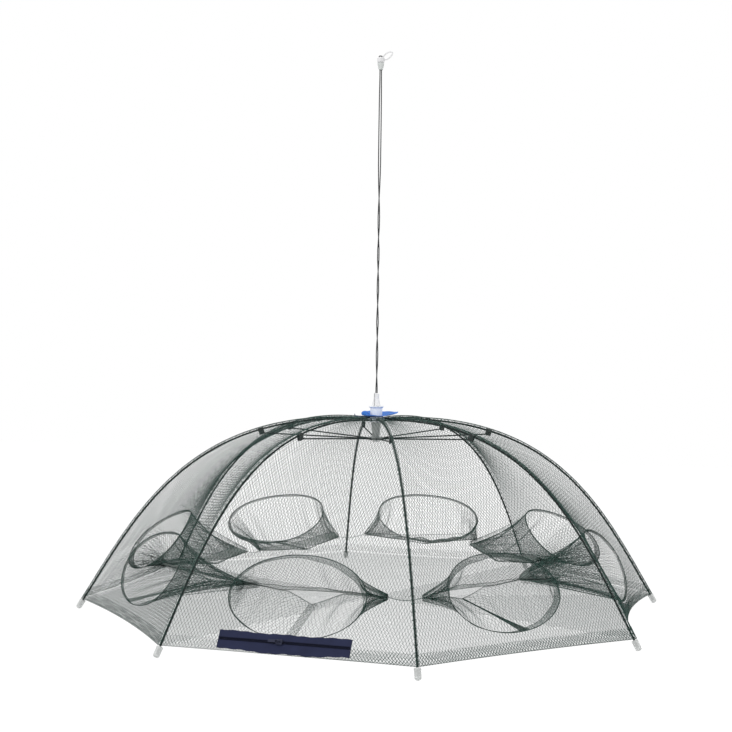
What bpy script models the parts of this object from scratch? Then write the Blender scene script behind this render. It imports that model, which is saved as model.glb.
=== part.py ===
"""Folding bait trap: an umbrella frame of eight bowed ribs under a net dome with eight entrances.

The trap hangs open by its cord. A hanging clip holds a doubled cord, the cord holds the latch stem,
and the stem and the runner are one body. The crown hub is latched down on the stem. Sliding the hub
up the cord folds the ribs down, and the stretchers swing in below them.

World origin: the top of the hanging clip, on the trap's axis. +Z is up. The zip is on the side that faces -Y, and
rib 1 is the one to its left, seen from outside.
Heights in this file are measured from the plane of the rib tips.
"""

import math

import bmesh
import bpy
from mathutils import Matrix, Vector

# Overall form, metres and degrees
RIB_COUNT = 8
FIRST_RIB_TURN = -112.5
TIP_RADIUS = 0.470
HUB_HEIGHT = 0.2915
RUNNER_DROP = 0.0303
RUNNER_HEIGHT = HUB_HEIGHT - RUNNER_DROP
HINGE_RADIUS = 0.0113
CLIP_TOP_HEIGHT = 0.8860
GAP = 0.0003

# Bowed ribs
RIB_ROD_RADIUS = 0.0015
RIB_HUB_PULL = 0.2913
RIB_HUB_RISE = 3.9
RIB_TIP_PULL = 0.1628
RIB_TIP_SLOPE = 58.6
INNER_STATIONS = 5
OUTER_STATIONS = 10
EYE_RADIUS = 0.0024
EYE_THICKNESS = 0.0022
WIRE_RADIUS = 0.0008
WIRE_CLEARANCE = 0.00035

# Stretchers and the clips that carry them
JOINT_RADIUS = 0.189
PIN_DROP = 0.0060
PIN_RADIUS = 0.0009
STRETCHER_ROD_RADIUS = 0.0011
HOOK_MOUTH = 0.0021
CLIP_LENGTH = 0.0090
CLIP_WALL = 0.0008
CLIP_EAR = 0.0015
CLIP_FOOT = 0.0026

# Tip caps
CAP_RADIUS = 0.0048
CAP_LENGTH = 0.0160
CAP_DEPTH = 0.0110

# Crown hub
HUB_FLANGE_RADIUS = 0.0140
HUB_FLANGE_THICKNESS = 0.0060
HUB_BORE_RADIUS = 0.0055
COLLAR_RADIUS = 0.0099
COLLAR_RISE = 0.0230
COLLAR_TOP_HEIGHT = HUB_HEIGHT + COLLAR_RISE
COLLAR_RIM_RADIUS = 0.0123
COLLAR_RIM_THICKNESS = 0.0012
COLLAR_FLARE_HEIGHT = 0.0036
GROOVE_HEIGHT = 0.0024
SLOT_CLEARANCE = 0.0004

# Runner
RUNNER_FLANGE_RADIUS = 0.0135
RUNNER_FLANGE_THICKNESS = 0.0050
RUNNER_BORE_RADIUS = 0.0039
SLEEVE_FOOT_RADIUS = 0.0058
SLEEVE_TOP_RADIUS = 0.0082
STRETCHER_SLOT_ROOM = 0.0013

# Latch stem and its spring prongs
STEM_FOOT_RADIUS = 0.0052
STEM_FOOT_THICKNESS = 0.0030
STEM_HEAD_RADIUS = 0.0050
STEM_HEAD_LENGTH = 0.0075
PRONG_RISE = 0.0215
PRONG_TOP_HEIGHT = COLLAR_TOP_HEIGHT + PRONG_RISE
PRONG_SLOT = 0.0026
PRONG_FLAT = 0.0036
BARB_REACH = 0.0034
BARB_RISE = 0.0095
BARB_LIP = 0.0013

# Crown patch and the net's drawcord
PATCH_RADIUS = 0.0330
PATCH_THICKNESS = 0.0012
PATCH_TURN = 15.6
PATCH_CURL = 0.0085
PATCH_LIFT = 0.0045
DRAWCORD_RADIUS = 0.00065
DRAWCORD_REACH = 0.0350
DRAWCORD_EYE = 0.0030

# Net dome
NET_THICKNESS = 0.0008
NET_OFFSET = 0.0033
CROWN_HOLE_RADIUS = 0.0118
RIB_BAND = 0.0050
PANEL_SAG = 0.0195
HEM_DRAWS = (0.0025, 0.006, 0.024, 0.011, 0.009, 0.009, 0.008, 0.005)
HEM_DRAW_POWER = 9
HEM_END = 0.9985
NET_STRAND_WIDTH = 0.0018
NET_STRAND_HEIGHT = 0.0010
NET_RING_ROW = 10
NET_SPOKES = (55, 125, 157, 218, 235, 305, 322, 383, 415)
RING_SIDE_TURNS = (-72, -55, -38, -23, -11, 0, 11, 23, 38, 55, 72)
RING_CORNERS = sorted([90, 270, 450] + [turn + side for turn in (0, 180, 360) for side in RING_SIDE_TURNS])

# Entrances
RING_HALF_WIDTH = 0.0978
RING_HALF_HEIGHT = 0.0620
RING_HEIGHT = 0.0790
RING_WIRE_RADIUS = 0.0014
FUNNEL_COLUMNS = 16
SLIT_CORNER_RADIUS = 0.361
SLIT_HALF_ANGLE = 18.6
SLIT_HEIGHT = 0.0740
SLIT_RISE = 0.0060
SLIT_SAG = 0.0130
SLIT_BOW = 0.0120
FUNNEL_SLACK = 0.0060

# Floor net
FLOOR_CELLS_LONG = 7
FLOOR_CELLS_SHORT = 3
FLOOR_CORNER_RADIUS = 0.4660
FLOOR_EDGE_DISTANCE = 0.4362
FLOOR_STRAND = 0.0024
FLOOR_HEIGHT = 0.0005

# Zip
ZIP_PANEL = 1
ZIP_FLAT = 0.58
ZIP_LEFT = 0.0975
ZIP_RIGHT = 0.0890
ZIP_TAPE_WIDTH = 0.0107
ZIP_TAPE_THICKNESS = 0.0009
ZIP_TEETH_WIDTH = 0.0016
ZIP_TEETH_THICKNESS = 0.0018
ZIP_SPLIT = 0.0008
ZIP_HEM_DISTANCE = 0.0160
ZIP_STAND_OFF = 0.0004
SLIDER_PLACE = -0.0100
SLIDER_LENGTH = 0.0090
SLIDER_WIDTH = 0.0075
SLIDER_THICKNESS = 0.0024
SLIDER_BRIDGE_RADIUS = 0.0006
SLIDER_BRIDGE_RISE = 0.0034
PULL_LENGTH = 0.0150
PULL_WIDTH = 0.0040
PULL_THICKNESS = 0.0010
PULL_EYE_RADIUS = 0.0008
PULL_LIFT = 0.0016

# Hanging clip and its sleeve
CLIP_BODY_RADIUS = 0.0060
CLIP_BODY_HEIGHT = 0.0085
CLIP_BODY_DEPTH = 0.0076
CLIP_TURN = 45.0
LOOP_TILT = 33.0
LOOP_HALF_LENGTH = 0.0092
LOOP_HALF_WIDTH = 0.0046
LOOP_WIRE_RADIUS = 0.0011
SLEEVE_LENGTH = 0.0115
SLEEVE_WIDE = 0.0044
SLEEVE_NARROW = 0.0033
SLEEVE_WALL = 0.0006

# Cord: each strand's height, its distance from the axis, and how far the pair has turned
CORD_RADIUS = 0.0009
CORD_TURN_RADIUS = 0.0036
CORD_ARCH = 0.0021
CORD_STEPS = 30
CORD_EVEN_TO = 0.8500
CORD_SUNK = 0.0060
CORD_ROUTE = (
    (PRONG_TOP_HEIGHT - CORD_SUNK, 0.00125, 45),
    (PRONG_TOP_HEIGHT + CORD_SUNK, 0.00125, 45),
    (0.4000, 0.00125, 200),
    (0.4550, 0.00125, 380),
    (0.5100, 0.00125, 560),
    (0.5650, 0.00125, 740),
    (0.6200, 0.00125, 920),
    (0.6700, 0.00135, 1040),
    (0.7100, 0.00170, 1085),
    (0.7700, 0.00175, 1095),
    (0.8200, 0.00165, 1110),
    (0.8500, 0.00140, 1125),
    (0.8650, 0.00140, 1125),
    (0.8740, 0.00340, 1125),
    (0.8765, 0.00360, 1125),
    (0.8815, 0.00360, 1125),
)

COLOURS = {
    "rib_black": ((0.012, 0.014, 0.014), 0.45, 0.3),
    "net_green": ((0.024, 0.075, 0.058), 0.65, 0.0),
    "hub_white": ((0.80, 0.80, 0.80), 0.40, 0.0),
    "sleeve_grey": ((0.45, 0.46, 0.46), 0.45, 0.0),
    "cap_clear": ((0.62, 0.64, 0.63), 0.30, 0.0),
    "patch_blue": ((0.024, 0.19, 0.56), 0.60, 0.0),
    "zip_navy": ((0.018, 0.020, 0.058), 0.70, 0.0),
    "wire_steel": ((0.30, 0.30, 0.30), 0.35, 0.9),
    "cord_black": ((0.020, 0.022, 0.022), 0.80, 0.0),
}

parts = bpy.data.collections.new("bait_trap")
cutters = bpy.data.collections.new("cutters")


def clear_scene():
    for old in list(bpy.data.objects):
        bpy.data.objects.remove(old, do_unlink=True)
    bpy.context.scene.collection.children.link(parts)
    bpy.context.scene.collection.children.link(cutters)


def material(name):
    found = bpy.data.materials.get(name)
    if found:
        return found
    colour, roughness, metallic = COLOURS[name]
    made = bpy.data.materials.new(name)
    made.use_nodes = True
    made.diffuse_color = (*colour, 1.0)
    shader = made.node_tree.nodes["Principled BSDF"]
    shader.inputs["Base Color"].default_value = (*colour, 1.0)
    shader.inputs["Roughness"].default_value = roughness
    shader.inputs["Metallic"].default_value = metallic
    return made


# Placing objects
def empty(name, location=(0, 0, 0), turn=0.0, parent=None):
    made = bpy.data.objects.new(name, None)
    made.empty_display_size = 0.02
    parts.objects.link(made)
    made.parent = parent
    made.location = location
    made.rotation_euler = (0, 0, math.radians(turn))
    return made


def place(name, mesh, finish, parent, location=(0, 0, 0), rotation=(0, 0, 0)):
    made = bpy.data.objects.new(name, mesh)
    parts.objects.link(made)
    made.parent = parent
    made.location = location
    made.rotation_euler = rotation
    if not mesh.materials:
        mesh.materials.append(material(finish))
    return made


def cutter(name, mesh):
    made = bpy.data.objects.new(name, mesh)
    cutters.objects.link(made)
    made.hide_render = True
    made.display_type = "WIRE"
    return made


# Making meshes
def finished(bm, name, smooth=False):
    bmesh.ops.recalc_face_normals(bm, faces=bm.faces)
    mesh = bpy.data.meshes.new(name)
    bm.to_mesh(mesh)
    bm.free()
    if smooth:
        mesh.shade_smooth()
        mesh.set_sharp_from_angle(angle=math.radians(35))
    return mesh


def turned(name, profile, segments, closed_loop=True):
    """A turned solid. The profile runs down its outer side, as (radius, height) pairs."""
    bm = bmesh.new()
    verts = [bm.verts.new((r, 0, z)) for r, z in profile]
    for first, second in zip(verts, verts[1:]):
        bm.edges.new((first, second))
    if closed_loop:
        bm.edges.new((verts[-1], verts[0]))
    mesh = bpy.data.meshes.new(name + "_profile")
    bm.to_mesh(mesh)
    bm.free()
    holder = bpy.data.objects.new(name + "_profile", mesh)
    cutters.objects.link(holder)
    screw = holder.modifiers.new("turn", "SCREW")
    screw.steps = segments
    screw.render_steps = segments
    screw.use_merge_vertices = True
    screw.merge_threshold = 0.00001
    result = evaluated(holder, name)
    bpy.data.objects.remove(holder, do_unlink=True)
    bm = bmesh.new()
    bm.from_mesh(result)
    bmesh.ops.remove_doubles(bm, verts=bm.verts, dist=0.000005)
    return finished(bm, name, smooth=True)


def evaluated(source, name):
    graph = bpy.context.evaluated_depsgraph_get()
    graph.update()
    mesh = bpy.data.meshes.new_from_object(source.evaluated_get(graph))
    mesh.name = name
    return mesh


def tube(name, points, radius, resolution=2, cyclic=False):
    """A round rod along points, as a mesh with welded caps."""
    curve = bpy.data.curves.new(name + "_path", "CURVE")
    curve.dimensions = "3D"
    curve.bevel_depth = radius
    curve.bevel_resolution = resolution
    curve.resolution_u = 1
    curve.use_fill_caps = not cyclic
    spline = curve.splines.new("POLY")
    spline.points.add(len(points) - 1)
    for target, point in zip(spline.points, points):
        target.co = (*point, 1.0)
    spline.use_cyclic_u = cyclic
    holder = bpy.data.objects.new(name + "_path", curve)
    cutters.objects.link(holder)
    mesh = evaluated(holder, name)
    bpy.data.objects.remove(holder, do_unlink=True)
    bm = bmesh.new()
    bm.from_mesh(mesh)
    bmesh.ops.remove_doubles(bm, verts=bm.verts, dist=radius * 0.01)
    return finished(bm, name, smooth=True)


def rod(name, start, end, radius, segments):
    """A straight cylinder from start to end."""
    start, end = Vector(start), Vector(end)
    along = end - start
    turn = along.to_track_quat("Z", "Y").to_matrix().to_4x4()
    bm = bmesh.new()
    bmesh.ops.create_cone(
        bm, cap_ends=True, segments=segments, radius1=radius, radius2=radius, depth=along.length,
        matrix=Matrix.Translation((start + end) / 2) @ turn,
    )
    return finished(bm, name, smooth=True)


def box(name, low, high, bevel=0.0):
    low, high = Vector(low), Vector(high)
    bm = bmesh.new()
    size = high - low
    bmesh.ops.create_cube(bm, size=1.0, matrix=Matrix.Translation((low + high) / 2) @ Matrix.Diagonal((*size, 1)))
    if bevel:
        bmesh.ops.bevel(bm, geom=bm.edges, offset=bevel, segments=1, affect="EDGES")
    return finished(bm, name)


def combined(name, base, steps):
    """The base mesh after a row of (operation, mesh) booleans."""
    holder = bpy.data.objects.new(name, base)
    cutters.objects.link(holder)
    tools = []
    for number, (operation, mesh) in enumerate(steps):
        tool = cutter(f"{name}_tool_{number}", mesh)
        tools.append(tool)
        change = holder.modifiers.new(f"{operation.lower()}_{number}", "BOOLEAN")
        change.operation = operation
        change.solver = "EXACT"
        change.object = tool
    mesh = evaluated(holder, name)
    for tool in tools + [holder]:
        bpy.data.objects.remove(tool, do_unlink=True)
    bm = bmesh.new()
    bm.from_mesh(mesh)
    bmesh.ops.remove_doubles(bm, verts=bm.verts, dist=0.000002)
    bmesh.ops.dissolve_degenerate(bm, dist=0.000002, edges=bm.edges)
    return finished(bm, name, smooth=True)


def loft(name, rows, closed_across=True, closed_along=False, smooth=True):
    """A surface through rows of points, one quad between each two neighbours."""
    bm = bmesh.new()
    grid = [[bm.verts.new(p) for p in row] for row in rows]
    pairs = list(zip(grid, grid[1:]))
    if closed_along:
        pairs.append((grid[-1], grid[0]))
    for upper, lower in pairs:
        count = len(upper)
        for i in range(count if closed_across else count - 1):
            j = (i + 1) % count
            bm.faces.new((upper[i], lower[i], lower[j], upper[j]))
    return finished(bm, name, smooth=smooth)


def triangulated(mesh):
    """The mesh with its twisted faces split into triangles."""
    bm = bmesh.new()
    bm.from_mesh(mesh)
    bmesh.ops.triangulate(bm, faces=bm.faces, quad_method="SHORT_EDGE")
    bm.to_mesh(mesh)
    bm.free()
    return mesh


def thickened(name, mesh, thickness, offset):
    """A closed shell on a surface. Offset 1 grows along the surface's normals, 0 grows both ways."""
    holder = bpy.data.objects.new(name, mesh)
    cutters.objects.link(holder)
    wall = holder.modifiers.new("wall", "SOLIDIFY")
    wall.thickness = thickness
    wall.offset = offset
    wall.use_even_offset = True
    result = evaluated(holder, name)
    bpy.data.objects.remove(holder, do_unlink=True)
    return result


# The rib's bow, as distance from the axis and height above the tips
def rib_point(u):
    rise = math.radians(RIB_HUB_RISE)
    slope = math.radians(RIB_TIP_SLOPE)
    start = Vector((HINGE_RADIUS, HUB_HEIGHT))
    end = Vector((TIP_RADIUS, 0.0))
    pull_out = start + RIB_HUB_PULL * Vector((math.cos(rise), math.sin(rise)))
    pull_in = end - RIB_TIP_PULL * Vector((math.cos(slope), -math.sin(slope)))
    v = 1 - u
    return v**3 * start + 3 * v * v * u * pull_out + 3 * v * u * u * pull_in + u**3 * end


def rib_tangent(u):
    step = 0.001
    low, high = max(0.0, u - step), min(1.0, u + step)
    return (rib_point(high) - rib_point(low)).normalized()


def rib_where(test, target):
    """The place along the rib where test(point) grows past target."""
    low, high = 0.0, 1.0
    for _ in range(40):
        middle = (low + high) / 2
        if test(rib_point(middle)) < target:
            low = middle
        else:
            high = middle
    return (low + high) / 2


RIB_TURN = 360.0 / RIB_COUNT
HALF_PANEL = math.radians(RIB_TURN / 2)
JOINT_U = rib_where(lambda p: p.x, JOINT_RADIUS)


def evenly(first, last, count):
    """Places along the rib, spaced evenly by length, without the first."""
    steps = 200
    places = [first + (last - first) * i / steps for i in range(steps + 1)]
    lengths = [0.0]
    for low, high in zip(places, places[1:]):
        lengths.append(lengths[-1] + (rib_point(high) - rib_point(low)).length)
    chosen = []
    for number in range(1, count + 1):
        target = lengths[-1] * number / count
        chosen.append(min(zip(lengths, places), key=lambda pair: abs(pair[0] - target))[1])
    return chosen


STATIONS = evenly(0.0, JOINT_U, INNER_STATIONS) + evenly(JOINT_U, 1.0, OUTER_STATIONS)
RING_U = rib_where(lambda p: -p.y, -RING_HEIGHT)


def rib_azimuth(number):
    return FIRST_RIB_TURN + RIB_TURN * (number - 1)


def net_line(u):
    """The net's inner side over a rib."""
    if u <= 0:
        top = HUB_HEIGHT + HUB_FLANGE_THICKNESS / 2
        return Vector((CROWN_HOLE_RADIUS, top + 2 * GAP))
    tangent = rib_tangent(u)
    return rib_point(u) + NET_OFFSET * Vector((-tangent.y, tangent.x))


def rib_band(u):
    """The share of a half panel that lies flat beside its rib."""
    return min(0.35, RIB_BAND / (net_line(u).x * math.sin(HALF_PANEL)))


def slack_at(panel, u, across):
    """How far the net is from its ribs' tension: 0 at a rib, 1 in the middle of a panel."""
    flat = 1 - rib_band(u)
    slack = max(0.0, 1 - (across / flat) ** 2)
    if panel == ZIP_PANEL:
        slack = min(slack, 1 - (ZIP_FLAT / flat) ** 2)
    return slack


def panel_point(panel, u, across, lift=0.0):
    """A point of the net's inner side between two ribs. Across runs from -1 to 1."""
    line = net_line(u)
    tangent = rib_tangent(max(u, 0.001))
    half_width = line.x * math.sin(HALF_PANEL)
    slack = slack_at(panel, u, across)
    inward = PANEL_SAG * math.sin(math.pi * min(u, 1.0)) * slack
    drawn = HEM_DRAWS[panel - 1] * slack * max(u, 0.0) ** HEM_DRAW_POWER
    mid_radius = line.x * math.cos(HALF_PANEL)
    radial = mid_radius + (inward - lift) * tangent.y - drawn
    height = line.y - (inward - lift) * tangent.x
    turn = math.radians(rib_azimuth(panel)) + HALF_PANEL
    out = Vector((math.cos(turn), math.sin(turn), 0))
    side = Vector((-math.sin(turn), math.cos(turn), 0))
    return radial * out + across * half_width * side + Vector((0, 0, height))


def panel_axes(panel, u, across=0.0):
    """Directions on a panel: along the hem, down the slope, and out of the net."""
    step = 0.004
    here = panel_point(panel, u, across)
    down = (panel_point(panel, u + step, across) - here).normalized()
    side = (panel_point(panel, u, across + step) - here).normalized()
    side = (side - side.dot(down) * down).normalized()
    return side, down, down.cross(side).normalized()


# Repeated frame pieces, modelled with the hinge at the origin and the rib along +X
def rib_mesh():
    hinge = rib_point(0.0)
    points = [Vector((EYE_RADIUS * 0.8, 0, 0))]
    for station in STATIONS:
        offset = rib_point(station) - hinge
        points.append(Vector((offset.x, 0, offset.y)))
    tangent = rib_tangent(1.0)
    points.append(points[-1] + CAP_DEPTH * Vector((tangent.x, 0, tangent.y)))
    half = EYE_THICKNESS / 2
    eye = rod("eye", (0, -half, 0), (0, half, 0), EYE_RADIUS, 12)
    hole = rod("hole", (0, -0.004, 0), (0, 0.004, 0), WIRE_RADIUS + WIRE_CLEARANCE, 8)
    bow = tube("bow", points, RIB_ROD_RADIUS)
    return combined("rib_mesh", bow, [("UNION", eye), ("DIFFERENCE", hole)])


def joint_offset():
    """The stretcher pin, from the rib's hinge, as (out, up)."""
    tangent = rib_tangent(JOINT_U)
    below = Vector((tangent.y, -tangent.x))
    return rib_point(JOINT_U) + PIN_DROP * below - rib_point(0.0)


def rib_clip_mesh():
    """A crimped clip with a fork below the rib, made level with its pin at the origin."""
    slot = EYE_THICKNESS + 2 * SLOT_CLEARANCE
    width = slot / 2 + CLIP_EAR
    bore = RIB_ROD_RADIUS + GAP
    top = PIN_DROP + bore + CLIP_WALL
    body = box("body", (-CLIP_LENGTH / 2, -width, -CLIP_FOOT), (CLIP_LENGTH / 2, width, top), 0.0006)
    slot_top = EYE_RADIUS + SLOT_CLEARANCE
    fork = box("fork", (-CLIP_LENGTH, -slot / 2, -2 * CLIP_FOOT), (CLIP_LENGTH, slot / 2, slot_top))
    rib_bore = rod("bore", (-CLIP_LENGTH, 0, PIN_DROP), (CLIP_LENGTH, 0, PIN_DROP), bore, 12)
    pin = rod("pin", (0, -width + 0.0004, 0), (0, width - 0.0004, 0), PIN_RADIUS, 10)
    return combined("rib_clip_mesh", body, [("DIFFERENCE", fork), ("DIFFERENCE", rib_bore), ("UNION", pin)])


def stretcher_run():
    """From the pin to the runner's wire ring, as (out, up)."""
    pin = rib_point(0.0) + joint_offset()
    return Vector((HINGE_RADIUS, RUNNER_HEIGHT)) - pin


def stretcher_mesh():
    """A straight stretcher from its pin at the origin. Its runner end is an open hook."""
    run = stretcher_run()
    length = run.length
    half = EYE_THICKNESS / 2
    outer = rod("outer", (0, -half, 0), (0, half, 0), EYE_RADIUS, 14)
    inner = rod("inner", (-length, -half, 0), (-length, half, 0), EYE_RADIUS, 14)
    start, end = (-EYE_RADIUS * 0.8, 0, 0), (-length + EYE_RADIUS * 0.8, 0, 0)
    bar = rod("bar", start, end, STRETCHER_ROD_RADIUS, 8)
    hole_radius = WIRE_RADIUS + WIRE_CLEARANCE
    pin_hole = rod("pin_hole", (0, -0.004, 0), (0, 0.004, 0), PIN_RADIUS + WIRE_CLEARANCE, 10)
    wire_hole = rod("wire_hole", (-length, -0.004, 0), (-length, 0.004, 0), hole_radius, 10)
    mouth = box("mouth", (-length - 0.004, -0.004, 0), (-length + HOOK_MOUTH, 0.004, 0.004))
    shaped = combined("stretcher_mesh", bar, [
        ("UNION", outer), ("UNION", inner),
        ("DIFFERENCE", pin_hole), ("DIFFERENCE", wire_hole), ("DIFFERENCE", mouth),
    ])
    shaped.transform(Matrix.Rotation(-math.atan2(-run.y, -run.x), 4, "Y"))
    return shaped


def tip_cap_mesh():
    """A round-nosed push-on cap along +X, with the rib's end in its bore."""
    bore = RIB_ROD_RADIUS + GAP
    nose = CAP_RADIUS * 0.75
    profile = [(bore, 0.0), (CAP_RADIUS - 0.0006, 0.0), (CAP_RADIUS, -0.0006)]
    profile.append((CAP_RADIUS, -(CAP_LENGTH - nose)))
    for step in (30, 60):
        a = math.radians(step)
        profile.append((CAP_RADIUS * math.cos(a), -(CAP_LENGTH - nose) - nose * math.sin(a)))
    profile.append((0.0, -CAP_LENGTH))
    profile.reverse()
    profile = [(0.0, -(CAP_DEPTH + GAP)), (bore, -(CAP_DEPTH + GAP))] + profile[::-1]
    mesh = turned("tip_cap_mesh", profile, 10, closed_loop=False)
    mesh.transform(Matrix.Rotation(math.radians(-90), 4, "Y"))
    return mesh


# The crown and the runner
def notched(name, profile, centre_height, slot_width, slot_start, flange_radius, thickness):
    """A turned hub whose flange has one notch for each arm."""
    steps = []
    for number in range(RIB_COUNT):
        notch = box(
            f"notch_{number}", (slot_start, -slot_width / 2, centre_height - thickness / 2 - GAP),
            (flange_radius + 0.001, slot_width / 2, centre_height + thickness / 2 + GAP),
        )
        turn = math.radians(FIRST_RIB_TURN + RIB_TURN * number)
        notch.transform(Matrix.Rotation(turn, 4, "Z"))
        steps.append(("DIFFERENCE", notch))
    return combined(name, turned(name + "_blank", profile, 32), steps)


def crown_hub_mesh():
    low = HUB_HEIGHT - HUB_FLANGE_THICKNESS / 2
    high = HUB_HEIGHT + HUB_FLANGE_THICKNESS / 2
    top = COLLAR_TOP_HEIGHT
    groove = HINGE_RADIUS - WIRE_RADIUS - GAP
    dish = HUB_BORE_RADIUS + 0.0008
    profile = [
        (dish, top - 0.0020), (COLLAR_RIM_RADIUS - 0.0006, top),
        (COLLAR_RIM_RADIUS, top), (COLLAR_RIM_RADIUS, top - COLLAR_RIM_THICKNESS),
        (COLLAR_RADIUS, top - COLLAR_FLARE_HEIGHT), (COLLAR_RADIUS, high),
        (HUB_FLANGE_RADIUS, high), (HUB_FLANGE_RADIUS, HUB_HEIGHT + GROOVE_HEIGHT / 2),
        (groove, HUB_HEIGHT + GROOVE_HEIGHT / 2), (groove, HUB_HEIGHT - GROOVE_HEIGHT / 2),
        (HUB_FLANGE_RADIUS, HUB_HEIGHT - GROOVE_HEIGHT / 2), (HUB_FLANGE_RADIUS, low),
        (HUB_BORE_RADIUS, low), (HUB_BORE_RADIUS, top - 0.0028),
    ]
    slot_width = 2 * (RIB_ROD_RADIUS + SLOT_CLEARANCE)
    start = HINGE_RADIUS - EYE_RADIUS - 2 * GAP
    return notched("crown_hub_mesh", profile, HUB_HEIGHT, slot_width, start, HUB_FLANGE_RADIUS, HUB_FLANGE_THICKNESS)


def sleeve_top_height():
    return HUB_HEIGHT - HUB_FLANGE_THICKNESS / 2 - 4 * GAP


def runner_mesh():
    low = RUNNER_HEIGHT - RUNNER_FLANGE_THICKNESS / 2
    high = RUNNER_HEIGHT + RUNNER_FLANGE_THICKNESS / 2
    groove = HINGE_RADIUS - WIRE_RADIUS - GAP
    top = sleeve_top_height()
    profile = [
        (RUNNER_BORE_RADIUS, top), (SLEEVE_TOP_RADIUS, top), (SLEEVE_FOOT_RADIUS, high + 0.0010),
        (SLEEVE_FOOT_RADIUS, high), (RUNNER_FLANGE_RADIUS, high),
        (RUNNER_FLANGE_RADIUS, RUNNER_HEIGHT + GROOVE_HEIGHT / 2),
        (groove, RUNNER_HEIGHT + GROOVE_HEIGHT / 2), (groove, RUNNER_HEIGHT - GROOVE_HEIGHT / 2),
        (RUNNER_FLANGE_RADIUS, RUNNER_HEIGHT - GROOVE_HEIGHT / 2), (RUNNER_FLANGE_RADIUS, low),
        (RUNNER_BORE_RADIUS, low),
    ]
    slot_width = 2 * (STRETCHER_ROD_RADIUS + SLOT_CLEARANCE)
    start = HINGE_RADIUS - EYE_RADIUS - STRETCHER_SLOT_ROOM
    return notched(
        "runner_mesh", profile, RUNNER_HEIGHT, slot_width, start, RUNNER_FLANGE_RADIUS, RUNNER_FLANGE_THICKNESS
    )


def wire_ring_mesh(name):
    points = []
    for step in range(20):
        a = 2 * math.pi * step / 20
        points.append(Vector((HINGE_RADIUS * math.cos(a), HINGE_RADIUS * math.sin(a), 0)))
    return tube(name, points, WIRE_RADIUS, resolution=1, cyclic=True)


def latch_stem_mesh():
    foot_top = RUNNER_HEIGHT - RUNNER_FLANGE_THICKNESS / 2 - GAP
    shoulder = sleeve_top_height() + GAP
    waist = RUNNER_BORE_RADIUS - GAP
    profile = [
        (0.0, shoulder + STEM_HEAD_LENGTH), (STEM_HEAD_RADIUS, shoulder + STEM_HEAD_LENGTH),
        (STEM_HEAD_RADIUS, shoulder), (waist, shoulder), (waist, foot_top),
        (STEM_FOOT_RADIUS, foot_top), (STEM_FOOT_RADIUS, foot_top - STEM_FOOT_THICKNESS),
        (0.0, foot_top - STEM_FOOT_THICKNESS),
    ]
    return turned("latch_stem_mesh", profile, 20, closed_loop=False)


def latch_prongs_mesh():
    """A split head whose two barbs stand over the collar's rim."""
    base = sleeve_top_height() + GAP + STEM_HEAD_LENGTH + GAP
    barb = COLLAR_TOP_HEIGHT + 2 * GAP
    r = STEM_HEAD_RADIUS
    profile = [
        (0.0, PRONG_TOP_HEIGHT), (r * 0.62, PRONG_TOP_HEIGHT), (r * 0.88, PRONG_TOP_HEIGHT - 0.0016),
        (r * 0.94, barb + BARB_LIP + BARB_RISE), (r + BARB_REACH, barb + BARB_LIP), (r + BARB_REACH, barb),
        (r, barb), (r, base), (0.0, base),
    ]
    blank = turned("prongs_blank", profile, 20, closed_loop=False)
    wide = 0.02
    split = box(
        "split", (-wide, -PRONG_SLOT / 2, base + 0.004), (wide, PRONG_SLOT / 2, PRONG_TOP_HEIGHT + 0.01)
    )
    split.transform(Matrix.Rotation(math.radians(45), 4, "Z"))
    steps = [("DIFFERENCE", split)]
    for side in (-1, 1):
        low, high = sorted((side * PRONG_FLAT, side * wide))
        flat = box("flat", (low, -wide, barb - 0.0002), (high, wide, PRONG_TOP_HEIGHT + 0.01))
        flat.transform(Matrix.Rotation(math.radians(45), 4, "Z"))
        steps.append(("DIFFERENCE", flat))
    return combined("latch_prongs_mesh", blank, steps)


def net_top_height(radius=CROWN_HOLE_RADIUS):
    """The net's outer side over a rib, near the crown."""
    inner, outer = net_line(0.0), net_line(STATIONS[0])
    share = max(0.0, (radius - inner.x) / (outer.x - inner.x))
    return inner.y + (outer.y - inner.y) * share + 1.2 * NET_THICKNESS


def crown_patch_mesh():
    """A round cloth patch round the collar, curled up on one side and lifted on the other."""
    over_cord = 2 * DRAWCORD_RADIUS + 3 * GAP
    inner = COLLAR_RADIUS + 2 * GAP
    turn = math.radians(PATCH_TURN)
    rows = []
    for ring in range(7):
        share = ring / 6
        radius = inner + (PATCH_RADIUS - inner) * share
        row = []
        for step in range(24):
            a = 2 * math.pi * step / 24
            side = math.cos(a)
            height = net_top_height(radius) + over_cord + 0.0006 * share * share * (1 + math.cos(3 * a + 0.6))
            reach = radius
            if side < 0:
                curl = (-side) ** 3 * share**2
                height += PATCH_CURL * curl
                reach -= 0.0075 * curl
            else:
                height += PATCH_LIFT * side**2 * share**2
                reach += 0.0030 * side * share
            row.append(Vector((reach * math.cos(a + turn), radius * math.sin(a + turn), height + 0.0008 * share)))
        rows.append(row)
    return thickened("crown_patch_mesh", loft("patch", rows), PATCH_THICKNESS, 1.0)


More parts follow.
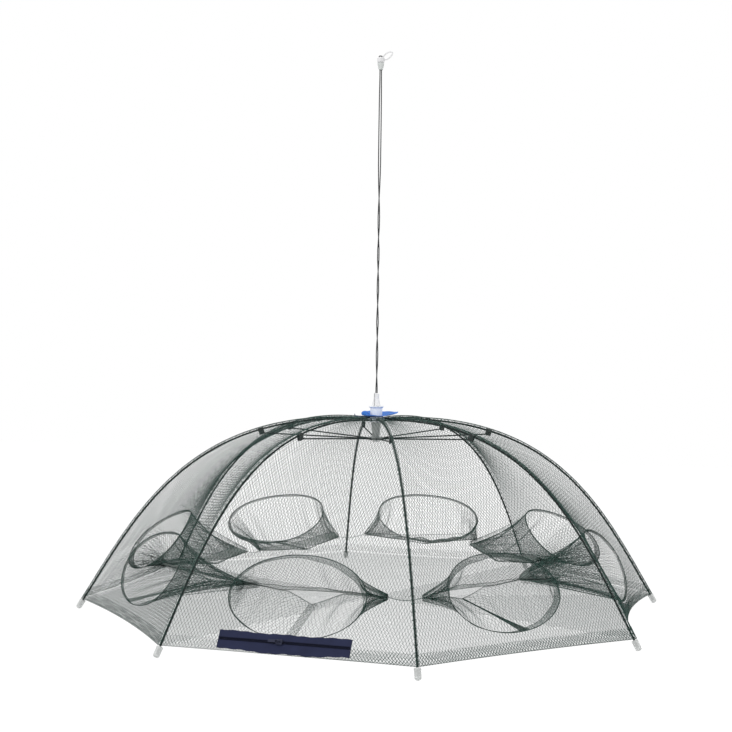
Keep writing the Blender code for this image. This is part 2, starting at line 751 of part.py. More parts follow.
def crown_drawcord_mesh():
    """One turn of cord round the collar over the net, with its ends out to one side in a small eye."""
    above = 1.5 * GAP + DRAWCORD_RADIUS
    height = net_top_height() + above
    ends = net_top_height(DRAWCORD_REACH) + above
    radius = COLLAR_RADIUS + GAP + DRAWCORD_RADIUS + 0.0002
    half_gap = DRAWCORD_RADIUS + 0.0004
    turn = math.radians(PATCH_TURN)
    opening = math.asin(half_gap / radius)
    points = [Vector((-(DRAWCORD_REACH - 0.006), half_gap, ends))]
    for step in range(17):
        a = math.pi - opening - (2 * math.pi - 2 * opening) * step / 16
        points.append(Vector((radius * math.cos(a), radius * math.sin(a), height)))
    points.append(Vector((-(DRAWCORD_REACH - 0.012), -half_gap, ends)))
    for step in range(9):
        a = math.radians(-60 + 270 * step / 8)
        centre = Vector((-DRAWCORD_REACH, 0, ends + DRAWCORD_EYE * 0.5))
        points.append(centre + DRAWCORD_EYE * Vector((-math.sin(a) * 0.2, -math.cos(a), math.sin(a) * 0.55)))
    turned_points = [Matrix.Rotation(turn, 4, "Z") @ p for p in points]
    return tube("crown_drawcord_mesh", turned_points, DRAWCORD_RADIUS, resolution=1)


# Nets
def canopy_cells():
    """Outlines of the dome's openings, as rows of named corners."""
    cells = []
    for panel in range(1, RIB_COUNT + 1):
        after = panel % RIB_COUNT + 1
        for upper in range(0, NET_RING_ROW, 2):
            middle, lower = upper + 1, upper + 2
            left = [(panel, row, 0) for row in (upper, middle, lower)]
            right = [(after, row, 0) for row in (lower, middle, upper)]
            cells.append(left + [(panel, lower, 1), (panel, upper, 1)])
            cells.append([(panel, upper, 1), (panel, lower, 1), (panel, lower, 2), (panel, upper, 2)])
            cells.append([(panel, upper, 2), (panel, lower, 2)] + right)
        cells += entrance_cells(panel, after)
    return cells


def entrance_cells(panel, after):
    """Eight openings round an entrance, from the ribs, the hem and the row above to the ring."""
    top, hem = NET_RING_ROW, len(STATIONS)
    outside = [
        [(panel, top, 2), (panel, top, 1)],
        [(panel, top, 1), (panel, top, 0), (panel, top + 1, 0), (panel, top + 2, 0)],
        [(panel, top + 2, 0), (panel, top + 3, 0), (panel, top + 4, 0)],
        [(panel, top + 4, 0), (panel, hem, 0), (panel, hem, 1)],
        [(panel, hem, 1), (panel, hem, 2)],
        [(panel, hem, 2), (after, hem, 0), (after, top + 4, 0)],
        [(after, top + 4, 0), (after, top + 3, 0), (after, top + 2, 0)],
        [(after, top + 2, 0), (after, top + 1, 0), (after, top, 0), (panel, top, 2)],
    ]
    cells = []
    for number, edge in enumerate(outside):
        first, last = NET_SPOKES[number], NET_SPOKES[number + 1]
        inner = [("ring", panel, angle % 360) for angle in RING_CORNERS if first <= angle <= last]
        cells.append(edge + inner[::-1])
    return cells


def canopy_corner(corner):
    """The place of a named corner."""
    if corner[0] == "ring":
        _, panel, angle = corner
        return ring_point(panel, math.radians(angle), RING_WIRE_RADIUS + 3 * GAP)
    panel, row, column = corner
    places = [0.0] + STATIONS[:-1] + [HEM_END]
    return panel_point(panel, places[row], (-1, -1 / 3, 1 / 3)[column])


def inset_corner(before, here, after, normal, width):
    """A corner moved into its opening, square to both of its edges."""
    first = normal.cross(here - before).normalized()
    second = normal.cross(after - here).normalized()
    middle = (first + second).normalized()
    return here + width / max(middle.dot(first), 0.4) * middle


def canopy_net_mesh():
    """An open grid of strands from crown to hem, with a strand round each entrance."""
    cells = canopy_cells()
    names = sorted({corner for cell in cells for corner in cell}, key=str)
    spots = {name: canopy_corner(name) for name in names}
    flats = []
    normals = {name: Vector() for name in names}
    shared = {}
    for cell in cells:
        loop = [spots[name] for name in cell]
        normal = sum((a.cross(b) for a, b in zip(loop, loop[1:] + loop[:1])), Vector()).normalized()
        flats.append(normal)
        for name, after in zip(cell, cell[1:] + cell[:1]):
            normals[name] += normal
            shared[(name, after)] = True
    bm = bmesh.new()
    low = {name: bm.verts.new(spots[name]) for name in names}
    high = {name: bm.verts.new(spots[name] + NET_STRAND_HEIGHT * normals[name].normalized()) for name in names}
    for cell, normal in zip(cells, flats):
        count = len(cell)
        inner = []
        for i, name in enumerate(cell):
            before, after = spots[cell[i - 1]], spots[cell[(i + 1) % count]]
            corner = inset_corner(before, spots[name], after, normal, NET_STRAND_WIDTH / 2)
            inner.append(bm.verts.new(corner + NET_STRAND_HEIGHT / 2 * normal))
        for i, name in enumerate(cell):
            j = (i + 1) % count
            after = cell[j]
            bm.faces.new((high[name], high[after], inner[j], inner[i]))
            bm.faces.new((low[after], low[name], inner[i], inner[j]))
            if (after, name) not in shared:
                bm.faces.new((high[after], high[name], low[name], low[after]))
    return triangulated(finished(bm, "canopy_net_mesh"))


def ring_point(panel, angle, grow=0.0, lift=0.0):
    """A point of an entrance ring's centre line, on the net."""
    step = 0.002
    per_u = (panel_point(panel, RING_U + step, 0) - panel_point(panel, RING_U, 0)).length / step
    u = RING_U - (RING_HALF_HEIGHT + grow) * math.sin(angle) / per_u
    half_width = net_line(u).x * math.sin(HALF_PANEL)
    across = (RING_HALF_WIDTH + grow) * math.cos(angle) / half_width
    return panel_point(panel, u, across, lift)


def slit_point(panel, angle):
    """The funnel's inner edge: a wide flat mouth tied at its two corners."""
    half = math.radians(SLIT_HALF_ANGLE)
    width = SLIT_CORNER_RADIUS * math.sin(half)
    chord = SLIT_CORNER_RADIUS * math.cos(half)
    across = math.cos(angle)
    lip = math.sin(angle)
    height = SLIT_HEIGHT + (SLIT_RISE if lip > 0 else SLIT_SAG) * lip
    radial = chord - SLIT_BOW * (1 - across * across)
    turn = math.radians(rib_azimuth(panel)) + HALF_PANEL
    out = Vector((math.cos(turn), math.sin(turn), 0))
    side = Vector((-math.sin(turn), math.cos(turn), 0))
    return radial * out + width * across * side + Vector((0, 0, height))


def funnel_mesh(panel):
    """An entrance ring and the net funnel that narrows from it to a flat slit."""
    rows = []
    for i in range(FUNNEL_COLUMNS):
        angle = 2 * math.pi * i / FUNNEL_COLUMNS
        start = ring_point(panel, angle)
        end = slit_point(panel, angle)
        inward = (end - start).normalized()
        centre = ring_point(panel, 0) + (ring_point(panel, math.pi) - ring_point(panel, 0)) / 2
        outward = (start - centre).normalized()
        outward = (outward - outward.dot(inward) * inward).normalized()
        half = NET_THICKNESS / 2
        middle = (start + end) / 2 - FUNNEL_SLACK * outward
        wire = RING_WIRE_RADIUS
        rows.append([
            start + wire * (0.80 * inward + 0.60 * outward),
            start + wire * (-0.30 * inward + 0.95 * outward),
            start + wire * (-1.00 * inward),
            start + wire * (-0.30 * inward - 0.95 * outward),
            start + wire * (0.80 * inward - 0.60 * outward),
            middle - half * outward,
            end - half * outward,
            end + half * outward,
            middle + half * outward,
        ])
    return triangulated(loft(f"funnel_mesh_{panel}", rows, closed_along=True))


def floor_net_mesh():
    """Diamond net with the dome's eight-sided outline, drawn in along each hem."""
    long, short = FLOOR_CELLS_LONG, FLOOR_CELLS_SHORT
    odd = (long + short) % 2
    bm = bmesh.new()
    nodes = {}

    def node(i, j):
        if (i, j) not in nodes:
            nodes[(i, j)] = bm.verts.new(floor_point(i, j))
        return nodes[(i, j)]

    def inside(i, j):
        return abs(i) <= long and abs(j) <= long and abs(i) + abs(j) <= long + short

    reach = long + 1
    for i in range(-reach, reach + 1):
        for j in range(-reach, reach + 1):
            if (i + j) % 2 == odd:
                continue
            corners = [(i + 1, j), (i, j + 1), (i - 1, j), (i, j - 1)]
            kept = [c for c in corners if inside(*c)]
            if len(kept) >= 3:
                bm.faces.new([node(*c) for c in kept])
    mesh = finished(bm, "floor_net_flat")
    holder = bpy.data.objects.new("floor_net_flat", mesh)
    cutters.objects.link(holder)
    strands = holder.modifiers.new("strands", "WIREFRAME")
    strands.thickness = FLOOR_STRAND
    strands.use_boundary = True
    strands.use_replace = True
    strands.use_even_offset = False
    result = evaluated(holder, "floor_net_mesh")
    bpy.data.objects.remove(holder, do_unlink=True)
    return result


def floor_point(i, j):
    """Fits a lattice point to the dome's outline, with each hem drawn in."""
    long, short = FLOOR_CELLS_LONG, FLOOR_CELLS_SHORT
    share = max(abs(i) / long, abs(j) / long, (abs(i) + abs(j)) / (long + short))
    lattice_turn = math.degrees(math.atan2(j, i)) % 90
    corner = math.degrees(math.atan2(short, long))
    quarter = math.degrees(math.atan2(j, i)) - lattice_turn
    if lattice_turn < corner:
        lattice_turn *= 22.5 / corner
    elif lattice_turn > 90 - corner:
        lattice_turn = 90 - (90 - lattice_turn) * 22.5 / corner
    else:
        lattice_turn = 45 + (lattice_turn - 45) * 22.5 / (45 - corner)
    turn = quarter + lattice_turn
    place_round = ((turn - FIRST_RIB_TURN) % 360) / RIB_TURN
    panel = int(place_round) % RIB_COUNT
    across = 2 * (place_round - int(place_round)) - 1
    edge = min(FLOOR_EDGE_DISTANCE / math.cos(across * HALF_PANEL), FLOOR_CORNER_RADIUS)
    drawn = HEM_DRAWS[panel] * slack_at(panel + 1, 1.0, across) * share**HEM_DRAW_POWER
    radius = share * edge - drawn
    a = math.radians(turn)
    return Vector((radius * math.cos(a), radius * math.sin(a), FLOOR_HEIGHT))


# Zip
def zip_frame():
    """The zip's centre on the outside of its panel, with its directions."""
    step = 0.002
    hem = panel_point(ZIP_PANEL, HEM_END, 0)
    u = HEM_END
    while (panel_point(ZIP_PANEL, u, 0) - hem).length < ZIP_HEM_DISTANCE:
        u -= step / 4
    side, down, out = panel_axes(ZIP_PANEL, u)
    centre = panel_point(ZIP_PANEL, u, 0) + (NET_THICKNESS + ZIP_STAND_OFF) * out
    return centre, side, down, out


def zip_matrix():
    centre, side, down, out = zip_frame()
    return Matrix.Translation(centre) @ Matrix((side, -down, out)).transposed().to_4x4()


def zip_tape_mesh(name, upward):
    """One tape and its row of teeth, in the zip's frame: X along the zip, Y up the slope, Z out."""
    inner, outer = ZIP_SPLIT / 2, ZIP_SPLIT / 2 + ZIP_TAPE_WIDTH
    outline = [
        (inner, 0.0), (outer, 0.0), (outer, ZIP_TAPE_THICKNESS),
        (inner + ZIP_TEETH_WIDTH, ZIP_TAPE_THICKNESS), (inner + ZIP_TEETH_WIDTH * 0.7, ZIP_TEETH_THICKNESS),
        (inner, ZIP_TEETH_THICKNESS),
    ]
    rows = [[Vector((x, upward * y, z)) for y, z in outline] for x in (-ZIP_LEFT, ZIP_RIGHT)]
    bm = bmesh.new()
    ends = [[bm.verts.new(p) for p in row] for row in rows]
    count = len(outline)
    for i in range(count):
        j = (i + 1) % count
        bm.faces.new((ends[0][i], ends[0][j], ends[1][j], ends[1][i]))
    for end in ends:
        bm.faces.new(end)
    return finished(bm, name)


def zip_slider_mesh():
    """The slider's top plate, with the bridge that carries the pull."""
    low = ZIP_TEETH_THICKNESS + GAP
    half_l, half_w = SLIDER_LENGTH / 2, SLIDER_WIDTH / 2
    plate = box("plate", (-half_l, -half_w, low), (half_l, half_w, low + SLIDER_THICKNESS), 0.0007)
    top = low + SLIDER_THICKNESS
    foot = 0.0024
    points = [Vector((-foot, 0, top - 0.0008)), Vector((-foot, 0, top + SLIDER_BRIDGE_RISE * 0.6))]
    points.append(Vector((-foot * 0.4, 0, top + SLIDER_BRIDGE_RISE)))
    points.append(Vector((foot * 0.4, 0, top + SLIDER_BRIDGE_RISE)))
    points += [Vector((foot, 0, top + SLIDER_BRIDGE_RISE * 0.6)), Vector((foot, 0, top - 0.0008))]
    bridge = tube("bridge", points, SLIDER_BRIDGE_RADIUS, resolution=1)
    return combined("zip_slider_mesh", plate, [("UNION", bridge)])


def pull_pivot():
    """The pull's hinge in the zip's frame, inside the slider's bridge."""
    top = ZIP_TEETH_THICKNESS + GAP + SLIDER_THICKNESS
    return Vector((SLIDER_PLACE, 0, top + PULL_LIFT))


def zip_pull_mesh():
    """A flat pull whose cross bar sits under the slider's bridge, lying along -X."""
    half = PULL_THICKNESS / 2
    start = PULL_EYE_RADIUS
    plate = box("pull", (-PULL_LENGTH, -PULL_WIDTH / 2, -half), (start, PULL_WIDTH / 2, half), 0.0003)
    inner = SLIDER_BRIDGE_RADIUS + 2 * GAP
    reach = 0.0024 + SLIDER_BRIDGE_RADIUS + 2 * GAP
    window = box("window", (-reach - 0.0012, -inner, -0.004), (-0.0008, inner, 0.004))
    return combined("zip_pull_mesh", plate, [("DIFFERENCE", window)])


# Hanging clip and cord
def hang_clip_mesh():
    """The clip's body, with two cord holes through it and a flat eye standing off one side."""
    top = CLIP_TOP_HEIGHT
    base = top - CLIP_BODY_HEIGHT
    r, edge = CLIP_BODY_RADIUS, 0.0012
    profile = [(0.0, top), (r - edge, top), (r, top - edge), (r, base + edge), (r - edge, base), (0.0, base)]
    body = turned("clip_body", profile, 20, closed_loop=False)
    body.transform(Matrix.Translation((0, 0, 0)) @ Matrix.Diagonal((1, CLIP_BODY_DEPTH / (2 * r) + 0.3, 1, 1)))
    tilt = math.radians(LOOP_TILT)
    along = Vector((math.cos(tilt), 0, math.sin(tilt)))
    across = Vector((-math.sin(tilt), 0, math.cos(tilt)))
    centre = Vector((r * 0.6, 0, top - CLIP_BODY_HEIGHT * 0.35)) + LOOP_HALF_LENGTH * along
    points = []
    for step in range(20):
        a = 2 * math.pi * step / 20
        points.append(centre + LOOP_HALF_LENGTH * math.cos(a) * along + LOOP_HALF_WIDTH * math.sin(a) * across)
    eye = tube("clip_eye", points, LOOP_WIRE_RADIUS, resolution=1, cyclic=True)
    steps = [("UNION", eye)]
    hole = CORD_RADIUS + GAP
    for side in (-1, 1):
        a = math.radians(CLIP_TURN)
        spot = Vector((math.cos(a), math.sin(a), 0)) * CORD_TURN_RADIUS * side
        steps.append(("DIFFERENCE", rod("cord_hole", spot + Vector((0, 0, base - 0.01)), spot + Vector((0, 0, top + 0.01)), hole, 10)))
    return combined("hang_clip_mesh", body, steps)


def cord_sleeve_mesh():
    """A tapered sleeve under the clip that gathers the two strands."""
    top = CLIP_TOP_HEIGHT - CLIP_BODY_HEIGHT - GAP
    base = top - SLEEVE_LENGTH
    wide = max(SLEEVE_WIDE, CORD_TURN_RADIUS + CORD_RADIUS + GAP + SLEEVE_WALL)
    profile = [
        (wide - SLEEVE_WALL, top), (wide, top), (wide, top - SLEEVE_LENGTH * 0.3), (SLEEVE_NARROW, base),
        (SLEEVE_NARROW - SLEEVE_WALL, base), (wide - SLEEVE_WALL, top - SLEEVE_LENGTH * 0.3 + 0.0004),
    ]
    return turned("cord_sleeve_mesh", profile, 16)


def smooth_between(route, height):
    """Distance from the axis and turn at a height, eased between the route's points."""
    for (h0, r0, t0), (h1, r1, t1) in zip(route, route[1:]):
        if height <= h1:
            share = (height - h0) / (h1 - h0)
            return r0 + (r1 - r0) * share, t0 + (t1 - t0) * share
    return route[-1][1:]


def cord_points():
    """Up one strand, over the clip and down the other."""
    bottom = CORD_ROUTE[0][0]
    heights = [bottom + (CORD_EVEN_TO - bottom) * step / CORD_STEPS for step in range(CORD_STEPS + 1)]
    heights += [height for height, _, _ in CORD_ROUTE if height > CORD_EVEN_TO + GAP]
    strand = []
    for height in heights:
        radius, turn = smooth_between(CORD_ROUTE, height)
        a = math.radians(turn)
        strand.append(Vector((radius * math.cos(a), radius * math.sin(a), height)))
    top = CLIP_TOP_HEIGHT + GAP
    a = math.radians(CORD_ROUTE[-1][2])
    over = []
    for step in range(7):
        b = math.pi * step / 6
        out = CORD_TURN_RADIUS * math.cos(b)
        over.append(Vector((out * math.cos(a), out * math.sin(a), top + CORD_ARCH * math.sin(b))))
    back = [Vector((-p.x, -p.y, p.z)) for p in reversed(strand)]
    return strand + over + back


def least_gap(points, radius, apart=6):
    """The least clear distance between stretches of the cord that aren't neighbours."""
    least = 1.0
    for i, first in enumerate(points[:-1]):
        for j in range(i + apart, len(points) - 1):
            for share in (0.0, 0.25, 0.5, 0.75):
                p = first.lerp(points[i + 1], share)
                for other in (0.0, 0.25, 0.5, 0.75):
                    q = points[j].lerp(points[j + 1], other)
                    least = min(least, (p - q).length)
    return least - 2 * radius


def build():
    clear_scene()
    frame = empty("trap_frame", (0, 0, -CLIP_TOP_HEIGHT))
    crown = empty("crown", (0, 0, HUB_HEIGHT), parent=frame)

    # Held by the cord
    place("runner", runner_mesh(), "sleeve_grey", frame)
    place("runner_wire_ring", wire_ring_mesh("runner_ring_mesh"), "wire_steel", frame, (0, 0, RUNNER_HEIGHT))
    place("latch_stem", latch_stem_mesh(), "hub_white", frame)
    place("latch_prongs", latch_prongs_mesh(), "hub_white", frame)
    points = cord_points()
    print("cord: least gap to itself, mm:", round(1000 * least_gap(points, CORD_RADIUS), 2))
    place("cord", tube("cord_mesh", points, CORD_RADIUS), "cord_black", frame)
    place("cord_sleeve", cord_sleeve_mesh(), "sleeve_grey", frame)
    place("hang_clip", hang_clip_mesh(), "hub_white", frame)

    # Sliding crown
    down = (0, 0, -HUB_HEIGHT)
    place("crown_hub", crown_hub_mesh(), "hub_white", crown, down)
    place("hub_wire_ring", wire_ring_mesh("hub_ring_mesh"), "wire_steel", crown)
    place("crown_drawcord", crown_drawcord_mesh(), "cord_black", crown, down)
    place("crown_patch", crown_patch_mesh(), "patch_blue", crown, down)
    place("canopy_net", canopy_net_mesh(), "net_green", crown, down)
    place("floor_net", floor_net_mesh(), "net_green", crown, down)
    for panel in range(1, RIB_COUNT + 1):
        place(f"funnel_{panel}", funnel_mesh(panel), "net_green", crown, down)

    # Folding ribs and stretchers
    rib, clip, cap, stretcher = rib_mesh(), rib_clip_mesh(), tip_cap_mesh(), stretcher_mesh()
    joint = joint_offset()
    tangent = rib_tangent(JOINT_U)
    clip_slope = -math.atan2(tangent.y, tangent.x)
    tip = rib_point(1.0) - rib_point(0.0)
    tip_tangent = rib_tangent(1.0)
    tip_slope = -math.atan2(tip_tangent.y, tip_tangent.x)
    for number in range(1, RIB_COUNT + 1):
        turn = math.radians(rib_azimuth(number))
        hinge = (HINGE_RADIUS * math.cos(turn), HINGE_RADIUS * math.sin(turn), 0)
        pivot = empty(f"rib_pivot_{number}", hinge, rib_azimuth(number), crown)
        place(f"rib_{number}", rib, "rib_black", pivot)
        joint_pivot = empty(f"stretcher_pivot_{number}", (joint.x, 0, joint.y), 0, pivot)
        place(f"rib_clip_{number}", clip, "rib_black", joint_pivot, rotation=(0, clip_slope, 0))
        place(f"stretcher_{number}", stretcher, "rib_black", joint_pivot)
        place(f"tip_cap_{number}", cap, "cap_clear", pivot, (tip.x, 0, tip.y), (0, tip_slope, 0))

    # Zip on its panel
    zip_holder = empty("zip_frame", parent=crown)
    zip_holder.matrix_local = Matrix.Translation((0, 0, -HUB_HEIGHT)) @ zip_matrix()
    place("zip_tape_upper", zip_tape_mesh("tape_upper_mesh", 1), "zip_navy", zip_holder)
    place("zip_tape_lower", zip_tape_mesh("tape_lower_mesh", -1), "zip_navy", zip_holder)
    place("zip_slider", zip_slider_mesh(), "zip_navy", zip_holder, (SLIDER_PLACE, 0, 0))
    place("zip_pull", zip_pull_mesh(), "zip_navy", zip_holder, pull_pivot())


build()
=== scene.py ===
"""Looks of a folding bait trap: fine net, gathered seams, cords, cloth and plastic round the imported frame."""

import math

import bmesh
import bpy
import numpy as np
from bpy.props import FloatProperty, FloatVectorProperty, IntProperty, PointerProperty
from mathutils import Matrix, Vector

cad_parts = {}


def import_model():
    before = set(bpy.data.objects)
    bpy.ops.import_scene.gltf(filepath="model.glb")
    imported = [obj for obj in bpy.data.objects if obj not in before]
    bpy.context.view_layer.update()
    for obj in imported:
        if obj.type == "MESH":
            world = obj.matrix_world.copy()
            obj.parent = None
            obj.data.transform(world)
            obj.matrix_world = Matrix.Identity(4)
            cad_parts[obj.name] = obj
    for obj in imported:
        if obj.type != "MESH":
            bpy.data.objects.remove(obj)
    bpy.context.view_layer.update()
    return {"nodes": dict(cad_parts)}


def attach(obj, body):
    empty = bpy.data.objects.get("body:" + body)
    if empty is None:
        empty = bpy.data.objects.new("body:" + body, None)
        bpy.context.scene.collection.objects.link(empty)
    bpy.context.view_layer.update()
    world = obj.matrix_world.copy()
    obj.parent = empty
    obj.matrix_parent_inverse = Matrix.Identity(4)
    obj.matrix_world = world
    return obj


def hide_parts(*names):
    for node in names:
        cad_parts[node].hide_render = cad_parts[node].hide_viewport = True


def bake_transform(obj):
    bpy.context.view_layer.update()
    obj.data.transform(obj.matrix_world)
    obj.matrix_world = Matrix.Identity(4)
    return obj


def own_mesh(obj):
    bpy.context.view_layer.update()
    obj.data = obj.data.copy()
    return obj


bl_info = {
    "name": "Folding bait trap",
    "version": (1, 0, 0),
    "blender": (4, 5, 0),
    "location": "3D View > Sidebar > Bait trap",
    "description": "Builds the net, seams, cords, cloth and finishes of a folding bait trap round its frame",
    "category": "Object",
}

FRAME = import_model()
NODES = FRAME["nodes"]

# The trap's own numbers, in metres and degrees, with heights above the plane of the rib tips
RIB_COUNT = 8
NUMBERS = range(1, RIB_COUNT + 1)
FIRST_RIB_TURN = -112.5
HALF_PANEL = math.radians(22.5)
PANEL_COS = math.cos(HALF_PANEL)
PANEL_SIN = math.sin(HALF_PANEL)
UP = np.array((0.0, 0.0, 1.0))
TIP_RADIUS = 0.470
HUB_HEIGHT = 0.2915
HINGE_RADIUS = 0.0113
HANG_HEIGHT = 0.8860
RIB_RADIUS = 0.0015
RIB_PULL_OUT = (0.2913, 3.9)
RIB_PULL_IN = (0.1628, 58.6)
RIB_END = 0.0110
EYE_RADIUS = 0.0017
EYE_WIRE = 0.0008
CAP_RADIUS = 0.0048
CAP_LENGTH = 0.0160
CAP_NOSE = 0.0036
CAP_BORE = 0.0018
NET_OFFSET = 0.0033
NET_THICKNESS = 0.0008
CROWN_HOLE = 0.0118
CROWN_TOP = 0.0036
RIB_BAND = 0.0050
# Width of a diamond of the net against its height, and how much taller the top ones are
CELL_SHAPE = 0.58
TOP_STRETCH = 0.50
PANEL_SAG = 0.0195
HEM_DRAWS = (0.0025, 0.006, 0.024, 0.011, 0.009, 0.009, 0.008, 0.0095)
HEM_DRAW_POWER = 9
HEM_END = 0.9985
HEM_ROWS = (0.0, 0.011, 0.022, 0.034)
HEM_LIFT = 0.0008
DARK_HEMS = (2, 3)
SEAM_OFFSET = 0.0013
LASHING_SIZE = 0.0027
LASHING_THREAD = 0.00035
RING_HALF_WIDTH = 0.0978
RING_HALF_HEIGHT = 0.0620
RING_HEIGHT = 0.0790
RING_SHIFTS = {1: (0.0, 0.0065), 2: (-0.0105, 0.0), 5: (0.0, -0.0090), 6: (0.0, -0.0090)}
RING_SCALES = {2: (0.94, 0.97)}
SLIT_HALF_ANGLE = math.radians(18.6)
SLIT_BOW = 0.0120
# Each funnel mouth's two corners, as distance from the axis and height
MOUTH_CORNERS = (
    ((0.334, 0.0724), (0.362, 0.0704)),
    ((0.352, 0.0666), (0.363, 0.0802)),
    ((0.271, 0.0587), (0.268, 0.0573)),
    ((0.269, 0.0512), (0.255, 0.0610)),
    ((0.340, 0.0560), (0.361, 0.0515)),
    ((0.368, 0.0450), (0.276, 0.0450)),
    ((0.272, 0.0482), (0.340, 0.0540)),
    ((0.340, 0.0580), (0.258, 0.0526)),
)
# How far the upper lip sags and the lower lip hangs under it, from one corner (-1) to the other (1)
LIP_SAGS = {
    1: ((-1, 0), (-0.77, 0.003), (-0.49, 0.007), (-0.21, 0.0054), (0.06, 0.004), (0.41, 0.0025), (1, 0)),
    2: ((-1, 0), (-0.6, -0.003), (0.1, 0.0), (0.45, -0.003), (0.8, 0.001), (1, 0)),
}
LIP_OPENINGS = {
    1: ((-1, 0.0006), (-0.40, 0.0010), (-0.05, 0.0200), (0.38, 0.0012), (1, 0.0006)),
    2: (
        (-1, 0.0006), (-0.8, 0.005), (-0.64, 0.0075), (-0.38, 0.0143), (-0.2, 0.008), (-0.06, 0.001),
        (1, 0.0006),
    ),
}
PLAIN_SAG = ((-1, 0), (-0.5, 0.004), (0, 0.006), (0.5, 0.004), (1, 0))
PLAIN_OPENING = ((-1, 0.0006), (-0.4, 0.0012), (-0.1, 0.0060), (0.25, 0.0012), (1, 0.0006))
# Where the upper and the lower lip start and end, as turns
LIP_START = 0.06
LIPS = ((LIP_START, math.pi - LIP_START), (-LIP_START, LIP_START - math.pi))
LIP_CORD = 0.00038
LIP_STRAND = 0.00024
GATHER_STRAND = 0.00022
FUNNEL_SLACK = 0.0060
FUNNEL_ROUND = 0.515
# The net bunched on a ring: its least width, its waves and its peaks, and where the peaks are, as turns
BUNCH_WIDTHS = (0.0008, 0.0010, 0.0080)
BUNCHES = {1: (0.75,), 2: (2.15, -0.62)}
# Strands pulled to a mouth's corner, by panel and side: first and last angle on the ring, and their number
FANS = {
    (1, 1): (-28, 42, 54), (1, -1): (-28, 42, 12), (2, 1): (-20, 20, 8), (2, -1): (-24, 42, 28),
    (3, -1): (-45, 30, 9), (8, 1): (-45, 45, 16), (6, 1): (-50, 20, 26),
}
PLAIN_FAN = (-50, 50, 18)
FAN_SPREAD = 0.0040
FAN_PULL = 0.35
# Strip under a lower lip: place across the mouth, turn on the ring, half width, narrowing, strands, layers
STRIPS = {1: (-0.05, -1.58, 0.0060, 0.5, 7, 5), 2: (-0.38, -1.42, 0.0012, 0.12, 15, 3)}
PLAIN_STRIP = (-0.10, -1.75, 0.0040, 0.35, 15, 1)
STRIP_FOOT = 0.085
STRIP_LAYER = 0.0002
FLOOR_HEIGHT = 0.0005
FLOOR_BLEND = 0.02
FLOOR_SPLIT = 0.20
FLOOR_EDGE = 0.4720
PATCH_INNER = 0.0105
PATCH_OUTER = 0.0328
PATCH_LEVEL = 0.0022
# Where along the cloth its roll starts, how far it turns, and how wide its curl is there
ROLL_FROM = 0.48
ROLL_TURN = math.radians(330)
ROLL_CURL = 0.0036
CLOTH_TURN = 15.6
LOOP_CORD = 0.00065
LOOP_REACH = 0.0350
LOOP_EYE = 0.0030

# The zip on its sloping panel
ZIP_FLAT = 0.58
ZIP_ORIGIN = Vector((0, -0.4271, 0.0165 - HANG_HEIGHT))
ZIP_UP = Vector((0, 0.5395, 0.8420))
ZIP_OUT = Vector((0, -0.8420, 0.5395))
ZIP_LEFT = 0.0975
ZIP_RIGHT = 0.0890
ZIP_CLOTH = 0.0006
TOOTH_SIZE = {"Length": 0.0014, "Width": 0.0024, "Height": 0.0012}
TOOTH_OFFSET = 0.0011
TOOTH_LEVEL = 0.0012
# Height of each tape at its ends, and how much it grows in the middle
ZIP_EDGES = {1: (0.0123, -0.0012), -1: (0.0125, 0.0032)}

# The cord's route: height, distance from the axis and turn of one strand
CORD_RADIUS = 0.0009
CORD_TURN_RADIUS = 0.0036
CORD_ARCH = 0.0021
CORD_STEPS = 30
CORD_EVEN_TO = 0.8500
CORD_ROUTE = (
    (0.3300, 0.00125, 45),
    (0.3420, 0.00125, 45),
    (0.4000, 0.00125, 200),
    (0.4550, 0.00125, 380),
    (0.5100, 0.00125, 560),
    (0.5650, 0.00125, 740),
    (0.6200, 0.00125, 920),
    (0.6700, 0.00135, 1040),
    (0.7100, 0.00170, 1085),
    (0.7700, 0.00175, 1095),
    (0.8200, 0.00165, 1110),
    (0.8500, 0.00140, 1125),
    (0.8650, 0.00140, 1125),
    (0.8740, 0.00340, 1125),
    (0.8765, 0.00360, 1125),
    (0.8815, 0.00360, 1125),
)

# The camera, with its lens in millimetres
CAMERA_LENS = 62.62
CAMERA_PITCH = 0.754
CAMERA_YAW = -0.489
CAMERA_ROLL = 0.756
CAMERA_TURN = 15.535
CAMERA_SPOT = (0, -2.0928, 0.4077)


# Properties
def length(label, words, value, low=0.0):
    """A length property with its default."""
    return FloatProperty(
        name=label, description=words, default=value, min=low, precision=5, subtype="DISTANCE", unit="LENGTH",
    )


def colour(label, words, value):
    """A colour property with its default."""
    return FloatVectorProperty(
        name=label, description=words, default=value, size=3, min=0.0, max=1.0, subtype="COLOR",
    )


class TrapSizes(bpy.types.PropertyGroup):
    """Sizes of the trap's soft goods."""

    cell: length("Net cell", "Height of one diamond of the net", 0.0082, 0.003)
    strand: length("Net strand", "Half the thickness of one strand of the net", 0.00031, 0.0001)
    hem_cord: length("Hem cord", "Thickness of each of the two cords in the dome's hem", 0.0006)
    seam_cord: length("Seam cord", "Thickness of the gathered net beside a rib", 0.0007)
    ring_wire: length("Entrance wire", "Thickness of an entrance ring with the net gathered on it", 0.0012)
    tie_thread: length("Tie thread", "Thickness of the threads between neighbouring funnels", 0.0008)
    lash_step: length("Lashing step", "Distance between the lashings along a rib", 0.0110)
    teeth: IntProperty(
        name="Zip teeth", description="Number of teeth on each tape of the zip", default=120, min=20,
    )


